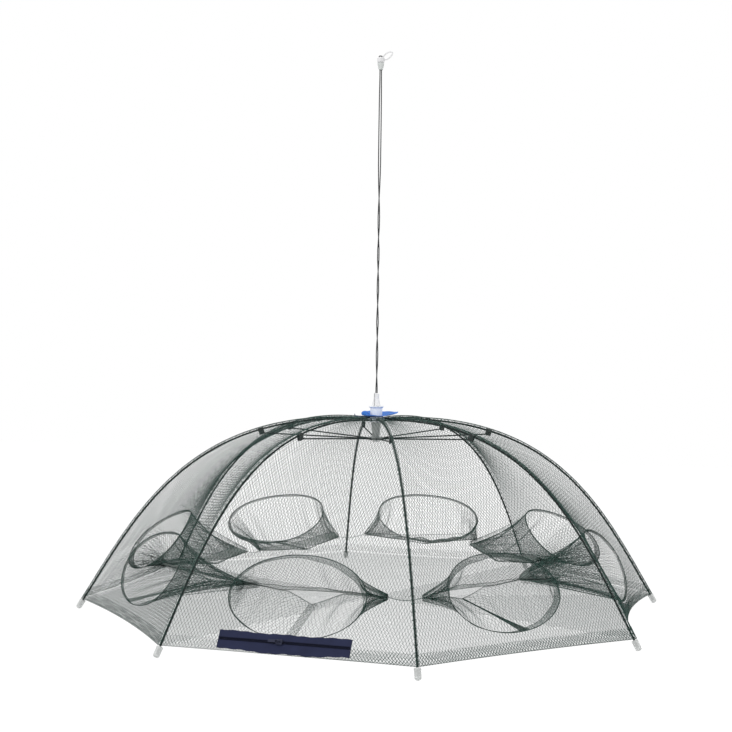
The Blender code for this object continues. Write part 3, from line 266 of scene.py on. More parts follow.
class TrapColours(bpy.types.PropertyGroup):
    """Colours of the trap's materials."""

    net: colour("Net", "Green of the net's strands", (0.022, 0.062, 0.050))
    floor: colour("Floor net", "Green of the floor net's strands", (0.022, 0.062, 0.050))
    seam: colour("Seams", "Green of the gathered seams and rings", (0.022, 0.060, 0.048))
    lip: colour("Lips", "Pale green of the funnels' hemmed lips", (0.42, 0.47, 0.45))
    rib: colour("Ribs", "Black of the ribs and stretchers", (0.012, 0.015, 0.015))
    plastic: colour("Hub", "White of the hub and the clip", (0.90, 0.90, 0.91))
    sleeve: colour("Runner", "Grey of the runner and the cord's sleeve", (0.50, 0.52, 0.51))
    cap: colour("Tip caps", "Clear grey of the tip caps", (0.74, 0.76, 0.75))
    patch: colour("Patch", "Blue of the crown's cloth patch", (0.020, 0.165, 0.60))
    loop: colour("Loop", "Navy of the drawcord's loop", (0.020, 0.045, 0.14))
    tape: colour("Zip", "Navy of the zip's tapes", (0.0215, 0.0260, 0.061))
    steel: colour("Wire", "Grey of the wire rings", (0.32, 0.33, 0.33))
    cord: colour("Cord", "Black of the hanging cord", (0.018, 0.021, 0.021))
    ground: colour("Ground", "White of the ground", (0.92, 0.92, 0.92))


# Node trees
class Graph:
    """A node tree that grows node by node."""

    def __init__(self, tree):
        self.tree = tree

    def node(self, kind, settings, inputs, output=0):
        """Adds a node, sets what it is, feeds its sockets and gives one of its outputs."""
        made = self.tree.nodes.new(kind)
        for key, value in settings.items():
            setattr(made, key, value)
        for key, value in inputs.items():
            self.feed(made.inputs[key], value)
        return made.outputs[output]

    def feed(self, socket, value):
        if isinstance(value, Level):
            value = value.socket
        if isinstance(value, bpy.types.NodeSocket):
            self.tree.links.new(value, socket)
        elif socket.type == "RGBA":
            socket.default_value = (*value, 1.0)
        else:
            socket.default_value = value

    def level(self, kind, settings, inputs, output=0):
        return Level(self, self.node(kind, settings, inputs, output))

    def seen(self):
        """1 for what the camera, a reflection or a clear piece looks at."""
        rays = ("Camera", "Glossy", "Transmission")
        camera, glossy, through = (self.level("ShaderNodeLightPath", {}, {}, f"Is {ray} Ray") for ray in rays)
        return (camera + glossy + through).clipped()


class Level:
    """A number that varies over a surface. Arithmetic on it adds Math nodes to its graph."""

    def __init__(self, graph, socket):
        self.graph = graph
        self.socket = socket

    def join(self, operation, other):
        return self.graph.level("ShaderNodeMath", {"operation": operation}, {0: self, 1: other})

    def __add__(self, other):
        return self.join("ADD", other)

    def __sub__(self, other):
        return self.join("SUBTRACT", other)

    def __mul__(self, other):
        return self.join("MULTIPLY", other)

    def clipped(self):
        return self.graph.level("ShaderNodeClamp", {}, {0: self})


# Materials
class Finish(Graph):
    """One procedural material round a Principled shader."""

    def __init__(self, name, fixed):
        self.material = bpy.data.materials.new(name)
        self.material.use_nodes = True
        super().__init__(self.material.node_tree)
        self.shader = self.tree.nodes["Principled BSDF"]
        for label, value in fixed.items():
            self.shader.inputs[label].default_value = value

    def place(self, scale=(1, 1, 1), turn=(0, 0, 0)):
        """Coordinates of the piece, scaled and turned."""
        origin = self.node("ShaderNodeTexCoord", {}, {}, "Object")
        return self.node("ShaderNodeMapping", {}, {"Vector": origin, "Scale": scale, "Rotation": turn})

    def noise(self, scale, detail, stretch=(1, 1, 1)):
        values = {"Scale": scale, "Detail": detail, "Vector": self.place(stretch)}
        return self.level("ShaderNodeTexNoise", {}, values)

    def wave(self, scale, direction, turn=(0, 0, 0)):
        values = {"Scale": scale, "Vector": self.place(turn=turn)}
        return self.level("ShaderNodeTexWave", {"bands_direction": direction}, values, 1)

    def paint(self, share, dark, light):
        """Colours the shader between two tones."""
        mixed = self.node("ShaderNodeMix", {"data_type": "RGBA"}, {0: share, 6: dark, 7: light}, 2)
        self.feed(self.shader.inputs["Base Color"], mixed)

    def done(self, share, tones, rough, height, strength, distance):
        """The material with its colour, its gloss and its relief."""
        self.paint(share, *tones)
        self.feed(self.shader.inputs["Roughness"], rough)
        values = {"Strength": strength, "Distance": distance, "Height": height}
        self.feed(self.shader.inputs["Normal"], self.node("ShaderNodeBump", {}, values))
        return self.material


def shade(tone, amount):
    """A colour made lighter or darker."""
    return tuple(min(1.0, max(0.0, channel * amount)) for channel in tone)


def shades(tone, *amounts):
    return [shade(tone, amount) for amount in amounts]


def net_finish(name, tone, spread, solid=1.0):
    """Fine translucent net twine: uneven dye and a fine twist. Solid is how much of the light it stops."""
    finish = Finish(name, {"IOR": 1.45, "Alpha": solid})
    patches = finish.noise(14.0, 3.0)
    fine = finish.noise(900.0, 1.0)
    share = (patches * 0.7 + fine * 0.6 - 0.15).clipped()
    return finish.done(share, shades(tone, 1 - spread, 1 + spread), fine * 0.25 + 0.50, fine, 0.3, 0.0002)


def cord_finish(name, tone, pitch):
    """Braided or twisted cord, with bands that cross."""
    finish = Finish(name, {"IOR": 1.45, "Sheen Weight": 0.25, "Sheen Roughness": 0.4})
    weave = finish.wave(pitch, "DIAGONAL") * finish.wave(pitch, "DIAGONAL", (0, 0, math.pi))
    fuzz = finish.noise(2500.0, 1.0)
    share = (weave * 0.8 + fuzz * 0.4).clipped()
    return finish.done(share, shades(tone, 0.5, 1.6), fuzz * 0.2 + 0.62, weave + fuzz * 0.3, 0.6, 0.0003)


def cloth_finish(name, tone, threads, wear, sheen, gloss=0.5):
    """Plain weave: warp and weft lines and uneven dye."""
    finish = Finish(name, {
        "IOR": 1.45, "Sheen Weight": sheen, "Sheen Roughness": 0.4, "Specular IOR Level": gloss,
    })
    weave = finish.wave(threads, "X") * finish.wave(threads, "Y")
    blotch = finish.noise(55.0, 3.0)
    share = (weave * 0.45 + blotch * 0.75 - 0.1).clipped()
    tones = shades(tone, 1 - wear, 1 + wear)
    return finish.done(share, tones, blotch * 0.2 + 0.62, weave + blotch * 0.2, 0.5, 0.0002)


def plastic_finish(name, tone, clear, rough, tint=None):
    """Moulded translucent plastic: soft cloudiness, fine flow marks and a slight gloss change."""
    finish = Finish(name, {"IOR": 1.49, "Transmission Weight": clear})
    cloud = finish.noise(120.0, 3.0)
    flow = finish.noise(700.0, 2.0, (1, 1, 0.15))
    tones = (tint or shade(tone, 0.86), shade(tone, 1.04))
    return finish.done(cloud, tones, flow * 0.18 + rough, flow, 0.15, 0.0002)


def metal_finish(name, tone, rough, metal, ior=1.5):
    """Painted or drawn metal: fine lines along it, scuffs and duller patches."""
    finish = Finish(name, {"IOR": ior, "Metallic": metal})
    lines = finish.noise(1500.0, 2.0, (1, 1, 0.1))
    worn = (finish.noise(60.0, 4.0) - 0.62).clipped() * 2.5
    return finish.done(worn, shades(tone, 0.9, 1.66), lines * 0.2 + rough, lines, 0.1, 0.0001)


# Each finish: its maker and name, its colour and how much lighter than that it is, and the maker's values
FINISHES = {
    "net": (net_finish, "net_twine", "net", 1.0, 0.35, 0.44),
    "floor": (net_finish, "floor_twine", "floor", 1.0, 0.35, 0.28),
    "seam": (net_finish, "seam_net", "seam", 1.0, 0.5),
    "gather": (net_finish, "gathered_net", "seam", 1.3, 0.5, 0.45),
    "wire": (net_finish, "ring_net", "seam", 0.55, 0.5, 0.9),
    "lip": (net_finish, "hem_band", "lip", 1.0, 0.3),
    "rib": (metal_finish, "rib_black", "rib", 1.0, 0.50, 0.0, 1.3),
    "joint": (plastic_finish, "joint_black", "rib", 1.2, 0.0, 0.42),
    "plastic": (plastic_finish, "moulded_white", "plastic", 1.0, 0.06, 0.32),
    "collar": (plastic_finish, "collar_white", "plastic", 1.0, 0.03, 0.34, (0.86, 0.89, 0.90)),
    "sleeve": (plastic_finish, "sleeve_grey", "sleeve", 1.0, 0.35, 0.34),
    "cord_sleeve": (plastic_finish, "cord_sleeve", "sleeve", 1.45, 0.25, 0.34),
    "clip": (plastic_finish, "clip_white", "plastic", 0.80, 0.05, 0.32),
    "cap": (plastic_finish, "cap_clear", "cap", 1.0, 0.40, 0.22),
    "patch": (cloth_finish, "patch_cloth", "patch", 1.0, 420.0, 0.25, 0.08),
    "loop": (cord_finish, "loop_cord", "loop", 1.0, 500.0),
    "tape": (cloth_finish, "zip_tape", "tape", 1.0, 520.0, 0.35, 0.0, 0.12),
    "teeth": (cloth_finish, "zip_teeth", "tape", 0.25, 900.0, 0.3, 0.0, 0.1),
    "slider": (metal_finish, "zip_slider", "tape", 0.7, 0.45, 0.1, 1.35),
    "steel": (metal_finish, "wire_steel", "steel", 1.0, 0.30, 0.9),
    "cord": (cord_finish, "hanging_cord", "cord", 1.0, 450.0),
}
MATERIALS = {}


def material(key):
    """A finish by its key, made once."""
    if key not in MATERIALS:
        maker, name, tone, amount, *values = FINISHES[key]
        tone = getattr(bpy.context.scene.trap_colours, tone)
        MATERIALS[key] = maker(name, shade(tone, amount), *values)
    return MATERIALS[key]


# The trap's form, for arrays of places
def rib_curve(u):
    """Distance from the axis and height of a rib's centre line."""
    out, rise = RIB_PULL_OUT[0], math.radians(RIB_PULL_OUT[1])
    back, slope = RIB_PULL_IN[0], math.radians(RIB_PULL_IN[1])
    start = np.array((HINGE_RADIUS, HUB_HEIGHT))
    end = np.array((TIP_RADIUS, 0.0))
    first = start + out * np.array((math.cos(rise), math.sin(rise)))
    second = end - back * np.array((math.cos(slope), -math.sin(slope)))
    u = np.asarray(u, float)[..., None]
    v = 1 - u
    return v**3 * start + 3 * v * v * u * first + 3 * v * u * u * second + u**3 * end


def rib_slope(u):
    """Direction of a rib's centre line, outward and up."""
    step = 0.001
    along = rib_curve(np.minimum(u + step, 1.0)) - rib_curve(np.maximum(u - step, 0.0))
    return along / np.linalg.norm(along, axis=-1, keepdims=True)


def net_line(u):
    """The net's inner side over a rib."""
    along = rib_slope(u)
    return rib_curve(u) + NET_OFFSET * np.stack((-along[..., 1], along[..., 0]), axis=-1)


def half_width(u):
    """Half of a panel's width."""
    return net_line(u)[..., 0] * PANEL_SIN


def slack_at(panel, u, across):
    """0 on a rib, 1 in the middle of a panel."""
    flat = 1 - np.minimum(0.35, RIB_BAND / half_width(u))
    slack = np.maximum(0.0, 1 - (across / flat) ** 2)
    if panel == 1:
        slack = np.minimum(slack, 1 - (ZIP_FLAT / flat) ** 2)
    return slack


def before(number):
    """The number of the rib or panel before this one."""
    return (number - 2) % RIB_COUNT + 1


def rib_turn(number):
    return math.radians(FIRST_RIB_TURN + 45.0 * (number - 1))


def directions(turn):
    """Outward and sideways directions at a turn."""
    return np.array((math.cos(turn), math.sin(turn), 0.0)), np.array((-math.sin(turn), math.cos(turn), 0.0))


def rib_point(number, line):
    """World places from distances from the axis and heights in a rib's plane."""
    out, _ = directions(rib_turn(number))
    return line[..., :1] * out + (line[..., 1:] - HANG_HEIGHT) * UP


def panel_point(panel, radial, sideways, height):
    """World places from distances out and sideways at a panel's middle, and heights."""
    out, side = directions(rib_turn(panel) + HALF_PANEL)
    return radial[..., None] * out + sideways[..., None] * side + (height - HANG_HEIGHT)[..., None] * UP


def panel_place(panel, u, across, lift=0.0):
    """Points of the net between two ribs. Across runs from -1 to 1, and lift is towards the outside."""
    u = np.asarray(u, float)
    across = np.asarray(across, float)
    line = net_line(u)
    along = rib_slope(np.maximum(u, 0.001))
    slack = slack_at(panel, u, across)
    inward = PANEL_SAG * np.sin(np.pi * np.minimum(u, 1.0)) * slack - lift
    drawn = HEM_DRAWS[panel - 1] * slack * np.maximum(u, 0.0) ** HEM_DRAW_POWER
    radial = line[..., 0] * PANEL_COS + inward * along[..., 1] - drawn
    sideways = across * line[..., 0] * PANEL_SIN
    return panel_point(panel, radial, sideways, line[..., 1] - inward * along[..., 0])


def rib_place(height):
    """The place along a rib at a height on its outer part."""
    places = np.linspace(0.3, 1.0, 4001)
    return float(np.interp(-height, -rib_curve(places)[:, 1], places))


RING_PLACE = rib_place(RING_HEIGHT)


def ring_shape(panel):
    """An entrance ring's shift sideways and down, and its two half axes."""
    wide, tall = RING_SCALES.get(panel, (1.0, 1.0))
    return *RING_SHIFTS.get(panel, (0.0, 0.0)), wide * RING_HALF_WIDTH, tall * RING_HALF_HEIGHT


def ring_place(panel, angle, grow=0.0, lift=0.0):
    """Points of an entrance ring's centre line."""
    step = 0.002
    sideways, down, wide, tall = ring_shape(panel)
    here = panel_place(panel, RING_PLACE, 0.0)
    there = panel_place(panel, RING_PLACE + step, 0.0)
    per_place = float(np.linalg.norm(there - here)) / step
    u = RING_PLACE + (down - (tall + grow) * np.sin(angle)) / per_place
    return panel_place(panel, u, (sideways + (wide + grow) * np.cos(angle)) / half_width(u), lift)


def between(table, x):
    """A value read from a table of pairs."""
    pairs = np.array(table, float)
    return np.interp(x, pairs[:, 0], pairs[:, 1])


def slit_place(panel, angle):
    """Points of the funnel's inner mouth, where its two lips almost meet."""
    across = np.cos(angle)
    share = (across + 1) / 2
    left, right = MOUTH_CORNERS[panel - 1]
    height = left[1] + (right[1] - left[1]) * share - between(LIP_SAGS.get(panel, PLAIN_SAG), across)
    opening = between(LIP_OPENINGS.get(panel, PLAIN_OPENING), across)
    height = height - np.where(np.sin(angle) < 0, opening, 0.0)
    radial = (left[0] + (right[0] - left[0]) * share) * math.cos(SLIT_HALF_ANGLE) - SLIT_BOW * (1 - across**2)
    sideways = (right[0] * share - left[0] * (1 - share)) * math.sin(SLIT_HALF_ANGLE)
    return panel_point(panel, radial, sideways, height)


def grid_area(grid):
    """Area of a surface from rows of its points."""
    along = np.diff(grid, axis=0)[:, :-1]
    side = np.diff(grid, axis=1)[:-1]
    return float(np.linalg.norm(np.cross(along, side), axis=-1).sum())


# Making pieces
def turned(degrees, axis):
    return Matrix.Rotation(math.radians(degrees), 4, axis)


def linked(name, data):
    made = bpy.data.objects.new(name, data)
    bpy.context.scene.collection.objects.link(made)
    return made


def shown(mesh, key):
    """An object for a finished mesh, with its material."""
    mesh.materials.clear()
    mesh.materials.append(material(key))
    return linked(mesh.name, mesh)


def mesh_from(name, points, edges=(), faces=()):
    mesh = bpy.data.meshes.new(name)
    mesh.from_pydata([tuple(p) for p in points], list(edges), list(faces))
    mesh.update()
    return mesh


def smoothed(mesh, angle=35.0):
    mesh.shade_smooth()
    mesh.set_sharp_from_angle(angle=math.radians(angle))
    return mesh


def grid_faces(rows, columns, loop_rows=False, loop_columns=True, flip=False):
    """Quads between neighbouring rows of points."""
    faces = []
    for i in range(rows if loop_rows else rows - 1):
        low, high = i * columns, (i + 1) % rows * columns
        for k in range(columns if loop_columns else columns - 1):
            m = (k + 1) % columns
            quad = (low + k, low + m, high + m, high + k)
            faces.append((quad[0], quad[3], quad[2], quad[1]) if flip else quad)
    return faces


def rod_mesh(name, points, radius, sides, closed=False):
    """A round rod along points. Radius is one number or one for each point."""
    path = np.array(points, float)
    count = len(path)
    radii = np.broadcast_to(np.asarray(radius, float), (count,))[:, None, None]
    if closed:
        tangent = np.roll(path, -1, axis=0) - np.roll(path, 1, axis=0)
    else:
        tangent = np.gradient(path, axis=0)
    tangent /= np.linalg.norm(tangent, axis=1, keepdims=True)
    normal = np.zeros_like(path)
    start = UP if abs(tangent[0][2]) < 0.9 else np.array((1.0, 0.0, 0.0))
    for i in range(count):
        across = start - np.dot(start, tangent[i]) * tangent[i]
        start = across / np.linalg.norm(across)
        normal[i] = start
    other = np.cross(tangent, normal)
    turn = 2 * np.pi * np.arange(sides)[None, :, None] / sides
    rings = path[:, None] + radii * (np.cos(turn) * normal[:, None] + np.sin(turn) * other[:, None])
    faces = grid_faces(count, sides, loop_rows=closed)
    if not closed:
        faces.append(tuple(range(sides - 1, -1, -1)))
        faces.append(tuple(range((count - 1) * sides, count * sides)))
    return smoothed(mesh_from(name, rings.reshape(-1, 3), faces=faces), 50.0)


def joined(name, meshes):
    """Several meshes as one."""
    bm = bmesh.new()
    for mesh in meshes:
        bm.from_mesh(mesh)
        bpy.data.meshes.remove(mesh)
    whole = bpy.data.meshes.new(name)
    bm.to_mesh(whole)
    bm.free()
    return whole


def turned_mesh(name, profile, segments):
    """A turned solid round Z from (radius, height) pairs that run down its outer side to the axis."""
    turns = [2 * math.pi * k / segments for k in range(segments)]
    points = [(r * math.cos(a), r * math.sin(a), height) for r, height in profile[:-1] for a in turns]
    faces = grid_faces(len(profile) - 1, segments, flip=True)
    pole = len(points)
    last = pole - segments
    faces += [(last + k, pole, last + (k + 1) % segments) for k in range(segments)]
    points.append((0.0, 0.0, profile[-1][1]))
    return smoothed(mesh_from(name, points, faces=faces))


def set_mesh(piece):
    """The piece's mesh as its modifiers make it."""
    graph = bpy.context.evaluated_depsgraph_get()
    graph.update()
    return bpy.data.meshes.new_from_object(piece.evaluated_get(graph))


def walled(piece, thickness, offset):
    """Gives an open sheet its thickness."""
    wall = piece.modifiers.new("wall", "SOLIDIFY")
    wall.thickness = thickness
    wall.offset = offset


def finish_node(node, key):
    """Gives a solid of the frame its finish."""
    target = NODES[node]
    if not target.material_slots:
        target.data.materials.append(material(key))
    for place in target.material_slots:
        place.material = material(key)


def fold_with_rib(piece, number):
    """The piece swings with a rib."""
    turn = rib_turn(number)
    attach(piece, f"rib_arm_{number}")
    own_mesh(piece)
    return piece


# Geometry Nodes
class Recipe(Graph):
    """A Geometry Nodes tree with named inputs, which ends in Realize Instances and Set Material."""

    def __init__(self, name, **inputs):
        super().__init__(bpy.data.node_groups.new(name, "GeometryNodeTree"))
        for label, kind in {"Geometry": "Geometry", **inputs, "Material": "Material"}.items():
            self.tree.interface.new_socket(name=label, in_out="INPUT", socket_type="NodeSocket" + kind)
        self.tree.interface.new_socket(name="Geometry", in_out="OUTPUT", socket_type="NodeSocketGeometry")
        self.given = self.tree.nodes.new("NodeGroupInput").outputs
        self.end = self.tree.nodes.new("NodeGroupOutput")

    def path(self):
        return self.node("GeometryNodeMeshToCurve", {}, {"Mesh": self.given["Geometry"]})

    def spots(self, mode, **amount):
        return self.node("GeometryNodeResampleCurve", {"mode": mode}, {"Curve": self.path(), **amount})

    def circle(self, sides, radius):
        values = {"Resolution": sides, "Radius": radius}
        return self.node("GeometryNodeCurvePrimitiveCircle", {"mode": "RADIUS"}, values)

    def tube(self, curve, sides, radius):
        values = {"Curve": curve, "Profile Curve": self.circle(sides, radius)}
        return self.node("GeometryNodeCurveToMesh", {}, values)

    def scaled(self, geometry, x, y, z):
        size = self.node("ShaderNodeCombineXYZ", {}, {"X": x, "Y": y, "Z": z})
        return self.node("GeometryNodeTransform", {}, {"Geometry": geometry, "Scale": size})

    def repeated(self, spots, piece, **rotation):
        return self.node("GeometryNodeInstanceOnPoints", {}, {"Points": spots, "Instance": piece, **rotation})

    def finish(self, geometry):
        whole = self.node("GeometryNodeRealizeInstances", {}, {"Geometry": geometry})
        values = {"Geometry": whole, "Material": self.given["Material"]}
        self.feed(self.end.inputs[0], self.node("GeometryNodeSetMaterial", {}, values))
        return self.tree


def strand_recipe():
    """Every edge of a mesh becomes a thin strand."""
    recipe = Recipe("net_strands", Radius="Float", Sides="Int")
    return recipe.finish(recipe.tube(recipe.path(), recipe.given["Sides"], recipe.given["Radius"]))


def lashing_recipe():
    """Small loops of thread round a path, one each step along it."""
    recipe = Recipe("thread_lashings", Step="Float", Size="Float", Thread="Float", Seed="Int")
    given = recipe.given
    spots = recipe.spots("LENGTH", Length=given["Step"])
    along = recipe.node("GeometryNodeInputTangent", {}, {})
    spread = {0: (-0.25, -0.25, -0.25), 1: (0.25, 0.25, 0.25), "Seed": given["Seed"]}
    lean = recipe.node("FunctionNodeRandomValue", {"data_type": "FLOAT_VECTOR"}, spread)
    leaning = recipe.node("ShaderNodeVectorMath", {"operation": "ADD"}, {0: along, 1: lean})
    facing = recipe.node("FunctionNodeAlignRotationToVector", {"axis": "Z"}, {"Vector": leaning})
    loop = recipe.scaled(recipe.circle(8, 1.0), given["Size"], given["Size"], 1.0)
    return recipe.finish(recipe.repeated(spots, recipe.tube(loop, 5, given["Thread"]), Rotation=facing))


def teeth_recipe():
    """A row of rounded zip teeth along a path."""
    recipe = Recipe("zip_teeth_row", Count="Int", Length="Float", Width="Float", Height="Float")
    given = recipe.given
    ball = recipe.node("GeometryNodeMeshIcoSphere", {}, {"Radius": 0.5, "Subdivisions": 1})
    tooth = recipe.scaled(ball, given["Length"], given["Width"], given["Height"])
    return recipe.finish(recipe.repeated(recipe.spots("COUNT", Count=given["Count"]), tooth))


RECIPES = {}


def grown(name, mesh, recipe, key, **values):
    """The mesh after a recipe, as a finished object."""
    if recipe not in RECIPES:
        RECIPES[recipe] = recipe()
    tree = RECIPES[recipe]
    holder = linked(name + "_path", mesh)
    change = holder.modifiers.new("grow", "NODES")
    change.node_group = tree
    values["Material"] = material(key)
    for item in tree.interface.items_tree:
        if item.in_out == "INPUT" and item.name in values:
            change[item.identifier] = values[item.name]
    result = set_mesh(holder)
    result.name = name
    bpy.data.objects.remove(holder, do_unlink=True)
    bpy.data.meshes.remove(mesh)
    if not len(result.polygons):
        raise RuntimeError(f"{name} came out empty")
    return linked(name, result)


def net_piece(name, pairs, key, radius):
    """A piece of net from pairs of its strands' starts and ends, with shared ends merged."""
    start, end = (np.concatenate(part) for part in zip(*pairs))
    both = np.concatenate((start, end))
    keys = np.round(both / 1e-5).astype(np.int64)
    _, index, inverse = np.unique(keys, axis=0, return_index=True, return_inverse=True)
    edges = inverse.reshape(2, len(start)).T
    edges = edges[edges[:, 0] != edges[:, 1]]
    mesh = bpy.data.meshes.new(name)
    mesh.vertices.add(len(index))
    mesh.vertices.foreach_set("co", both[index].astype(np.float32).ravel())
    mesh.edges.add(len(edges))
    mesh.edges.foreach_set("vertices", edges.astype(np.int32).ravel())
    mesh.update()
    return grown(name, mesh, strand_recipe, key, Radius=radius, Sides=3)


# Diamond net
def diamond_starts(rows, columns):
    """Numbers of the nodes that a diamond net's strands start from."""
    i, j = np.meshgrid(columns, rows, indexing="ij")
    keep = (i + j) % 2 == 0
    return i[keep], j[keep]


def diamond_net(cell, size, seed, inside, formed, stretch=0.0):
    """Strands of a flat diamond net, cut where they cross its outline and then formed, as starts and ends."""
    width, length = size
    columns = int(width / (cell * CELL_SHAPE / 2)) + 2
    rows = int(length / (cell / 2)) + 2
    top = 1 + stretch
    change = stretch * (1 + stretch / 2) * cell / (4 * length)
    pull, drift = 0.05, 0.15

    def flat(i, j):
        """Node numbers as places on the pattern, each pulled a little out of line."""
        di = pull * np.sin(i * 12.9898 + j * 78.233 + seed) * np.cos(i * 3.1 - j * 1.7)
        dj = pull * np.cos(i * 39.425 - j * 11.135 + seed) * np.sin(i * 1.3 + j * 2.9)
        wander = 0.5 * np.sin(0.21 * j + 0.4 * seed) + 0.4 * np.sin(0.13 * i + 0.17 * j + seed)
        i, j = i + di + drift * wander, j + dj + drift * wander
        return np.stack((i * CELL_SHAPE, j * (top - change * j)), axis=1) * cell / 2

    i, j = diamond_starts(np.arange(-1, rows + 1), np.arange(-columns, columns + 1))
    start = flat(np.tile(i, 2), np.tile(j, 2))
    end = flat(np.concatenate((i + 1, i - 1)), np.tile(j + 1, 2))
    kept = inside(start) | inside(end)
    start, end = start[kept], end[kept]
    at_start, at_end = inside(start)[:, None], inside(end)[:, None]
    near = low = np.where(at_start, start, end)
    far = high = np.where(at_start, end, start)
    for _ in range(12):
        middle = (low + high) / 2
        fits = inside(middle)[:, None]
        low = np.where(fits, middle, low)
        high = np.where(fits, high, middle)
    return formed(near), formed(np.where(at_start != at_end, low, far))


def canopy_strands(panel, side, cell):
    """One half of a panel's net: side is -1 beside its own rib and 1 beside the next."""
    places = np.linspace(0.0, 1.0, 801)
    middle = panel_place(panel, places, 0.0)
    lengths = np.concatenate(([0.0], np.cumsum(np.linalg.norm(np.diff(middle, axis=0), axis=1))))
    total = lengths[-1]
    sideways, down, wide, tall = ring_shape(panel)
    ring_at = float(np.interp(RING_PLACE, places, lengths)) + down

    def inside(spots):
        a, b = spots[:, 0] * side, spots[:, 1]
        half = half_width(np.interp(b, lengths, places))
        ring = ((spots[:, 0] - sideways) / wide) ** 2 + ((b - ring_at) / tall) ** 2
        return (a >= 0) & (a <= half - 0.0002) & (b > 0.002) & (b < total * HEM_END) & (ring > 1.0)

    def formed(spots):
        u = np.interp(spots[:, 1], lengths, places)
        return panel_place(panel, u, np.clip(spots[:, 0] / half_width(u), -1, 1), NET_THICKNESS / 2)

    return diamond_net(cell, (half_width(1.0), total), panel * 1.7, inside, formed, TOP_STRETCH)


def rib_net(name, number, strands, key, *limits):
    """A rib's piece of net, from half of each panel beside it."""
    sizes = bpy.context.scene.trap_sizes
    halves = ((number, -1), (before(number), 1))
    pairs = [strands(panel, side, sizes.cell, *limits) for panel, side in halves]
    return net_piece(f"{name}_{number}", pairs, key, sizes.strand)


def wedge_area(panel):
    """Net area of half a panel without its entrance."""
    u = np.linspace(0.0, HEM_END, 200)
    across = np.linspace(0.0, 1.0, 30)
    grid = panel_place(panel, u[:, None], np.broadcast_to(across, (200, 30)))
    return grid_area(grid) - math.pi * RING_HALF_WIDTH * RING_HALF_HEIGHT / 2


class TRAP_OT_camera(bpy.types.Operator):
    """Adds the camera at the viewing angle of a level studio picture"""

    bl_idname = "trap.camera"
    bl_label = "Add camera"

    def execute(self, context):
        data = bpy.data.cameras.new("trap_camera")
        camera = linked("trap_camera", data)
        data.sensor_width = 36.0
        data.lens = CAMERA_LENS
        data.clip_start = 0.05
        data.clip_end = 40.0
        lower = Matrix.Translation((0, 0, -HANG_HEIGHT))
        spot = lower @ turned(CAMERA_TURN, "Z") @ Matrix.Translation(CAMERA_SPOT)
        tilt = turned(90 - CAMERA_PITCH, "X") @ turned(-CAMERA_YAW, "Y") @ turned(CAMERA_ROLL, "Z")
        camera.matrix_world = spot @ tilt
        context.scene.camera = camera
        return {"FINISHED"}


def cord_path():
    """Up one strand, over the clip and down the other, in world places."""
    table = np.array(CORD_ROUTE)
    even = np.linspace(table[0, 0], CORD_EVEN_TO, CORD_STEPS + 1)
    heights = np.concatenate((even, table[table[:, 0] > CORD_EVEN_TO + 0.0003, 0]))
    reach = np.interp(heights, table[:, 0], table[:, 1])
    turn = np.radians(np.interp(heights, table[:, 0], table[:, 2]))
    strand = np.stack((reach * np.cos(turn), reach * np.sin(turn), heights - HANG_HEIGHT), axis=1)
    bend = np.linspace(0, math.pi, 7)[:, None]
    out, _ = directions(turn[-1])
    over = CORD_TURN_RADIUS * np.cos(bend) * out + (0.0003 + CORD_ARCH * np.sin(bend)) * UP
    return [Vector(p) for p in np.concatenate((strand, over, strand[::-1] * (-1, -1, 1)))]


class TRAP_OT_cord(bpy.types.Operator):
    """Makes the doubled hanging cord with its clip and sleeve"""

    bl_idname = "trap.cord"
    bl_label = "Make cord"

    def execute(self, context):
        path = cord_path()
        cord = shown(rod_mesh("hanging_cord", path, CORD_RADIUS, 10), "cord")
        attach(cord, "held")
        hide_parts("cord")
        finish_node("cord_sleeve", "cord_sleeve")
        finish_node("hang_clip", "clip")
        return {"FINISHED"}


class TRAP_OT_canopy(bpy.types.Operator):
    """Makes the fine net of the dome, in eight wedges that fold with their ribs"""

    bl_idname = "trap.canopy"
    bl_label = "Make dome net"

    def execute(self, context):
        for number in NUMBERS:
            piece = fold_with_rib(rib_net("dome_net", number, canopy_strands, "net"), number)
            area = wedge_area(number) + wedge_area(before(number))
            if number == 1:
                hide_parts("canopy_net")
        return {"FINISHED"}


def floor_place(panel, radius, across):
    """A point of the floor net in one eighth. Across runs from -1 to 1 between two ribs."""
    share = radius / TIP_RADIUS
    drawn = HEM_DRAWS[panel - 1] * slack_at(panel, np.ones_like(share), across) * share**HEM_DRAW_POWER
    rise = 0.0012 * np.clip((share - 0.985) / 0.018, 0, 1)
    return panel_point(panel, radius * PANEL_COS - drawn, across * radius * PANEL_SIN, FLOOR_HEIGHT + rise)


def floor_strands(panel, side, cell, low, high):
    """One sixteenth of the floor net, between two distances from the axis."""
    def inside(spots):
        a, radius = spots[:, 0] * side, spots[:, 1] / PANEL_COS
        return (a >= 0) & (a <= radius * PANEL_SIN) & (radius >= low) & (radius <= high)

    def formed(spots):
        radius = np.maximum(spots[:, 1] / PANEL_COS, 1e-4)
        return floor_place(panel, radius, np.clip(spots[:, 0] / (radius * PANEL_SIN), -1, 1))

    return diamond_net(cell, (FLOOR_EDGE * PANEL_SIN, FLOOR_EDGE * PANEL_COS), 40.0 + panel, inside, formed)


